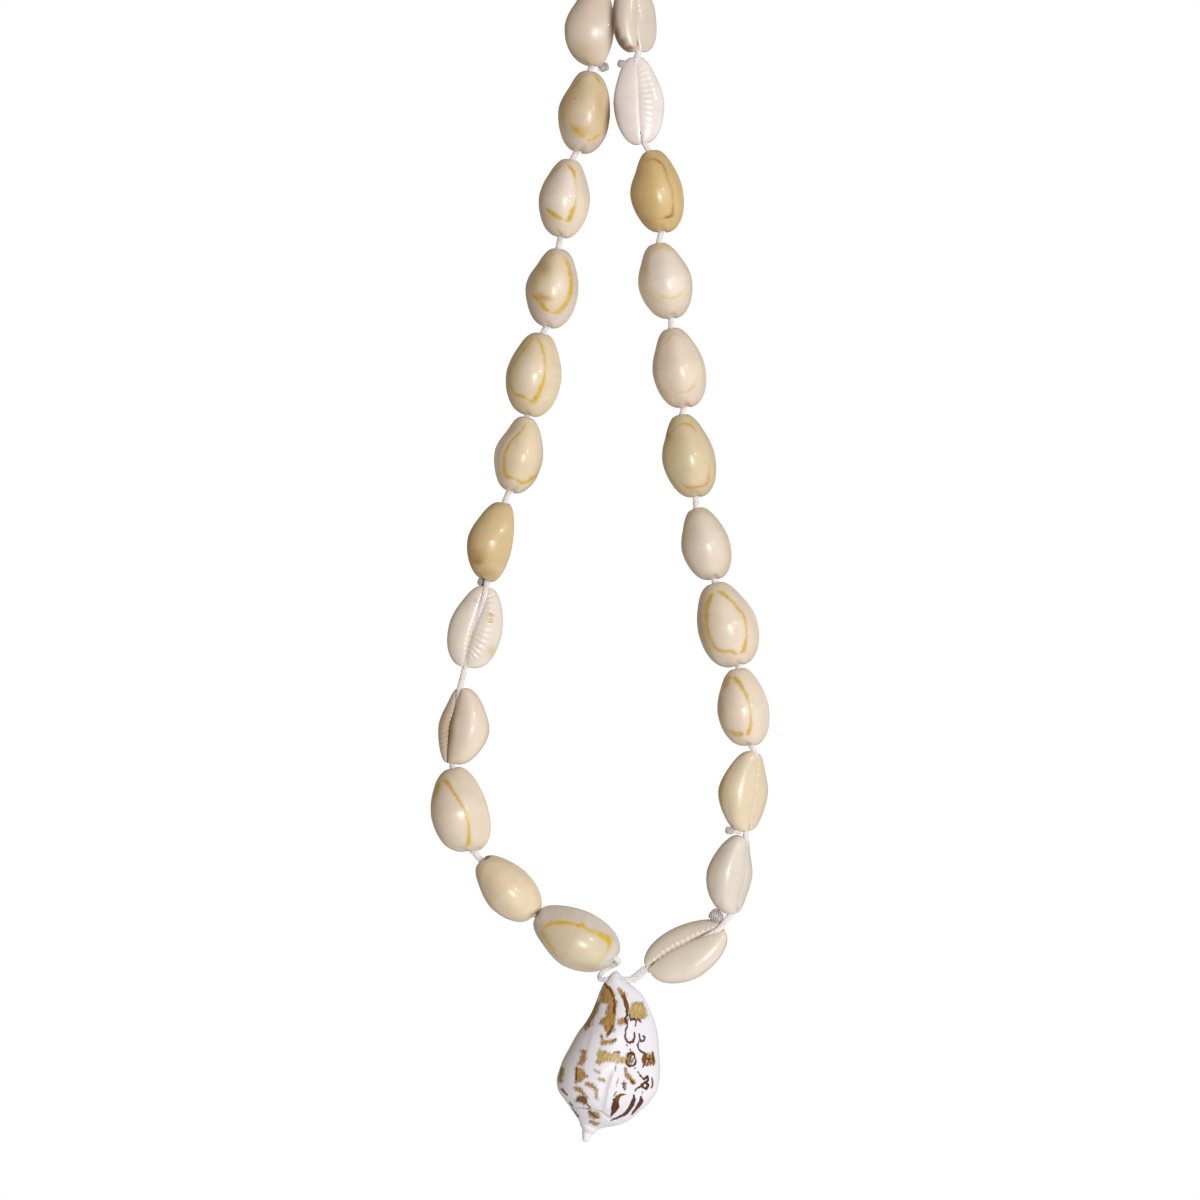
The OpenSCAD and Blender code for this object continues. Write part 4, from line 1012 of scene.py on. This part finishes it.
def pendant_points():
    """Grid of the pendant's points in its own frame, in mm: across, depth and along, with the angle round it."""
    rows = np.array(PENDANT, float)
    # stations along it, close together at both rounded ends
    t = np.concatenate([0.8 * (1 - np.cos(np.linspace(0.15, math.pi / 2, 9)[:-1])), np.linspace(0.8, TIP_FROM, 236),
                        TIP_FROM + TIP_ROUND * np.sin(np.linspace(0, math.pi / 2, 10)[1:-1])])
    xs = np.append(rows[:, ALONG], PENDANT_LEN)
    kernel = np.hanning(11)[1:-1]
    kernel /= kernel.sum()

    def column(k, last):
        """A column of the table at every station, eased between the two ends."""
        v = ease_through(xs, np.append(rows[:, k], last), t)
        return np.where((t > 2) & (t < 49), np.convolve(np.pad(v, 4, "edge"), kernel, "valid"), v)[:, None]

    left, right, front, back = column(REACH_L, -2.6), column(REACH_R, -0.5), column(FRONT, 1.1), column(BACK, 1.1)
    t = t[:, None]
    close = (np.sqrt(1 - ((CROWN_ROUND - t) / CROWN_ROUND).clip(0, 1) ** 2)
             * np.sqrt(1 - ((t - TIP_FROM) / TIP_ROUND).clip(0, 1) ** 2))
    a = np.radians(np.concatenate([np.linspace(-8, 188, 151)[:-1], np.linspace(188, 352, 90)[:-1]]))[None, :]
    mid, half = (left + right) / 2, (right - left) / 2 * close
    depth = np.where(np.sin(a) > 0, front, back) * close * (1 - LIP_THIN * np.cos(a))
    turn = np.degrees(a)
    # mouth behind, with the folds on its inner lip
    inside = smooth(turn, *MOUTH_IN) * (1 - smooth(turn, *MOUTH_OUT))
    hollow = 0.5 * inside * np.sin(math.pi * ((t - MOUTH[0]) / (MOUTH[1] - MOUTH[0])).clip(0, 1)) ** 0.6
    folds = (0.05 * bell(turn, 290, 7) * np.cos(2 * math.pi * (t - 0.06 * turn) / 2.6).clip(0)
             * smooth(t, 16, 20) * (1 - smooth(t, 29, 32)))
    k = 1 - hollow + folds
    x, y = mid + k * np.cos(a) * half, -k * np.sin(a) * depth

    def ridge(where, rise, sharp, wide):
        return rise * np.where(x < where, bell(x, where, sharp), bell(x, where, wide))

    # ridges on the front, the seam above the spire and the spire's own turns
    crest = 1.3 + 0.25 * np.sin(t / 3.0)
    long_ridge = (ridge(crest, 0.4, 0.35, 2.2) - 0.3 * bell(x, crest - 1.5, 1.1)) * smooth(t, 27, 31)
    side_ridge = ridge(-7.7, 0.3, 0.6, 2.0) * smooth(t, 18, 20) * (1 - smooth(t, 25, 27))
    lift = np.sin(a).clip(0, 1) ** 0.5 * (long_ridge * (1 - smooth(t, 39.5, 41.5)) + side_ridge)
    seam = ease_through([-15, -8.5, -3.2, 0.4, 3, 5.4, 15], [44.5, 43, 41.8, 41.4, 42.8, 43, 43.5], x)
    lift = lift - 0.3 * bell(t, seam, 0.45) * smooth(t, 30, 36)
    lift = lift - 0.25 * smooth(t - seam, 0, 1.2) * (1 - smooth(t, 46, 48))
    lift = lift + 0.18 * np.sin(2 * math.pi * (t - 45.5) / 2.6 + a) * smooth(t, 46, 47) * (1 - smooth(t, 49.5, 51))
    y = y - lift * np.sin(a)
    x = x + 0.5 * lift * np.cos(a)
    return x, y, t + 0 * x, a + 0 * x


TILT_COS, TILT_SIN = math.cos(math.radians(PENDANT_TILT)), math.sin(math.radians(PENDANT_TILT))


def pendant_to_world(x, y, t):
    return np.stack([PENDANT_TOP[0] + x * TILT_COS - t * TILT_SIN, PENDANT_TOP[1] + y,
                     PENDANT_TOP[2] - x * TILT_SIN - t * TILT_COS], -1)


def pendant_from_world(points):
    dx, dz = points[:, 0] - PENDANT_TOP[0], points[:, 2] - PENDANT_TOP[2]
    return dx * TILT_COS - dz * TILT_SIN, points[:, 1] - PENDANT_TOP[1], -dx * TILT_SIN - dz * TILT_COS


# How the pendant's marks are drawn: name, raggedness, softness of the edge in mm, and strength
LAYERS = (("wash", 1.2, 0.5, 0.94), ("ink", 0.42, 0.16, 1.0))


def porcelain_material():
    """Glossy white shell with soft ochre washes, dark ragged marks and faint growth lines."""
    mat, t = new_material("pendant_glaze")
    place = t.add("ShaderNodeTexCoord").outputs["Object"]
    coarse, fine, cloud = t.noise(place, 650.0, 4.0), t.noise(place, 2200.0, 3.0), t.noise(place, 90.0, 3.0)
    stretched = t.vector("MULTIPLY", t.read("drawn", "Vector"), _1=(2.4, 0.5, 0.0))
    streaks = t.noise(stretched, 1.0, 3.0, "2D")
    last = t.mix(cloud, tone4("porcelain"), tone4("mist"))
    for name, ragged, soft, strength in LAYERS:
        wobble = t.math("MULTIPLY", t.math("SUBTRACT", coarse, 0.5), ragged)
        wobble = t.math("MULTIPLY_ADD", t.math("SUBTRACT", fine, 0.5), ragged * 0.8, wobble)
        wobble = t.math("MULTIPLY_ADD", t.math("SUBTRACT", streaks, 0.7), ragged, wobble)
        at = t.math("ADD", t.read(name + "_far"), wobble)
        darker = t.ramp(t.blend(streaks, fine, 0.7), 0.36, 0.62, 0.62, 1.3)
        rim = t.ramp(at, -0.9, -0.1, 1.15, 0.8)
        varied = t.mix(1.0, t.read(name + "_tone", "Color"), t.math("MULTIPLY", darker, rim), "MULTIPLY")
        edge = t.ramp(at, soft, -soft, eased=True)
        last = t.mix(t.math("MULTIPLY", edge, strength), last, varied)
    lines = t.noise(t.add("ShaderNodeCombineXYZ", X=t.read("growth")), 9.0, 4.0, "2D")
    t.surface(Base_Color=last, Normal=t.bump(lines, 0.12, 0.0004), Roughness=0.42, Specular_IOR_Level=0.35,
              Coat_Weight=0.14, Coat_Roughness=0.1)
    return mat


def drill():
    """The rod that cuts the hole."""
    turns = np.linspace(0, 2 * math.pi, DRILL_SIDES + 1)[:-1]
    points = [(PIVOT[0] * MM + reach * DRILL_HALF, PIVOT[1] * MM + HOLE_D / 2 * MM * math.cos(q),
               PIVOT[2] * MM + HOLE_D / 2 * MM * math.sin(q)) for reach in (-1, 1) for q in turns]
    after = [(i + 1) % DRILL_SIDES for i in range(DRILL_SIDES)]
    faces = [[i, j, DRILL_SIDES + j, DRILL_SIDES + i] for i, j in enumerate(after)]
    ends = [list(range(DRILL_SIDES))[::-1], list(range(DRILL_SIDES, 2 * DRILL_SIDES))]
    return mesh_object("drill", points, faces + ends)


def make_pendant():
    x, y, t, a = pendant_points()
    rows, cols = x.shape
    ends = pendant_to_world(*(np.array([v[0].mean(), v[-1].mean()]) for v in (x, y)), np.array([0, PENDANT_LEN]))
    points = np.concatenate([pendant_to_world(x, y, t).reshape(-1, 3), ends])
    faces = grid_faces(rows, cols)
    low = (rows - 1) * cols
    for j in range(cols):
        faces.append([rows * cols, (j + 1) % cols, j])
    for j in range(cols):
        faces.append([rows * cols + 1, low + j, low + (j + 1) % cols])
    piece = mesh_object("spire_shell", points * MM, faces, PORCELAIN)
    put_value(piece.data, "growth", np.append(np.degrees(a).ravel() / 30, [0, 0]))
    hole = drill()
    cut = piece.modifiers.new("drilled", "BOOLEAN")
    cut.operation, cut.solver, cut.object = "DIFFERENCE", "EXACT", hole
    made = piece.data = applied(piece, cut)
    bpy.data.objects.remove(hole)
    co = np.empty(len(made.vertices) * 3, np.float32)
    made.vertices.foreach_get("co", co)
    px, py, pt = pendant_from_world(co.reshape(-1, 3).astype(float) / MM)
    for marks, label in ((WASHES, "wash"), (INKS, "ink")):
        far, shade = mark_far(px, pt, marks)
        if label == "ink":
            far = far + 3 * smooth(py, -1, 2)
        put_value(made, label + "_far", far + 5 * smooth(py, 3, 6) * smooth(px, -3, 2))
        put_colour(made, label + "_tone", shade)
    drawn = made.attributes.new("drawn", "FLOAT_VECTOR", "POINT")
    drawn.data.foreach_set("vector", np.stack([px, pt, 0 * px], -1).astype(np.float32).ravel())
    made.shade_smooth()
    return piece


PORCELAIN = porcelain_material()
pendant = make_pendant()
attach(pendant, "pendant")
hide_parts("pendant")

# ---------------------------------------------------------------- light, world and floor
def soft_lamp(name, place, aim, size, power, tint):
    """A round lamp in metres and watts, turned towards its aim."""
    data = bpy.data.lights.new(name, "AREA")
    data.shape, data.size, data.energy, data.color = "DISK", size, power, tint
    lamp = bpy.data.objects.new(name, data)
    lamp.location = place
    ahead = np.array(aim) - np.array(place)
    lamp.rotation_euler = (
        math.atan2(math.hypot(ahead[0], ahead[1]), -ahead[2]), 0, math.atan2(ahead[1], ahead[0]) - math.pi / 2)
    bpy.context.scene.collection.objects.link(lamp)
    return lamp


# Lamps: place, what they point at, width, power and tint
MIDDLE = (-0.004, 0, -0.25)
soft_lamp("key", (0.42, -1.25, -0.27), MIDDLE, 0.042, 9.6, (1.0, 0.98, 0.96))
soft_lamp("second", (0.95, -0.95, 0.25), MIDDLE, 0.05, 2.4, (1.0, 0.97, 0.92))
side_light = soft_lamp("side", (1.3, -0.35, -0.2), MIDDLE, 0.5, 4, (0.92, 0.96, 1.0))
back_light = soft_lamp("back", (0.75, 1.1, 0.15), MIDDLE, 0.6, 3, (1.0, 0.97, 0.93))
side_light.visible_glossy = back_light.visible_glossy = False

world = bpy.data.worlds.new("studio")
bpy.context.scene.world = world
world.use_nodes = True
world.node_tree.nodes.clear()
w = Tree(world.node_tree)
seen = w.add("ShaderNodeBackground", Color=(1, 1, 1, 1), Strength=1.0)
fill = w.add("ShaderNodeBackground", Color=(0.92, 0.76, 0.57, 1), Strength=0.32)
straight = w.add("ShaderNodeLightPath")
both = w.add("ShaderNodeMixShader", _0=straight.outputs["Is Camera Ray"], _1=fill, _2=seen)
w.add("ShaderNodeOutputWorld", Surface=both)

floor_mat, f = new_material("pale_floor")
f.surface(Base_Color=(0.86, 0.86, 0.86, 1), Roughness=0.8, Emission_Color=(1, 1, 1, 1), Emission_Strength=0.25)
FLOOR_R, FLOOR_Z, FLOOR_SIDES = 0.28, -0.47, 96
spokes = np.linspace(0, 2 * math.pi, FLOOR_SIDES + 1)[:-1]
disc = np.stack([FLOOR_R * np.cos(spokes), FLOOR_R * np.sin(spokes), np.full(FLOOR_SIDES, FLOOR_Z)], -1)
floor = mesh_object("floor", disc, [list(range(FLOOR_SIDES))], floor_mat)

view = bpy.context.scene.view_settings
view.view_transform = "Standard"
view.look = "None"
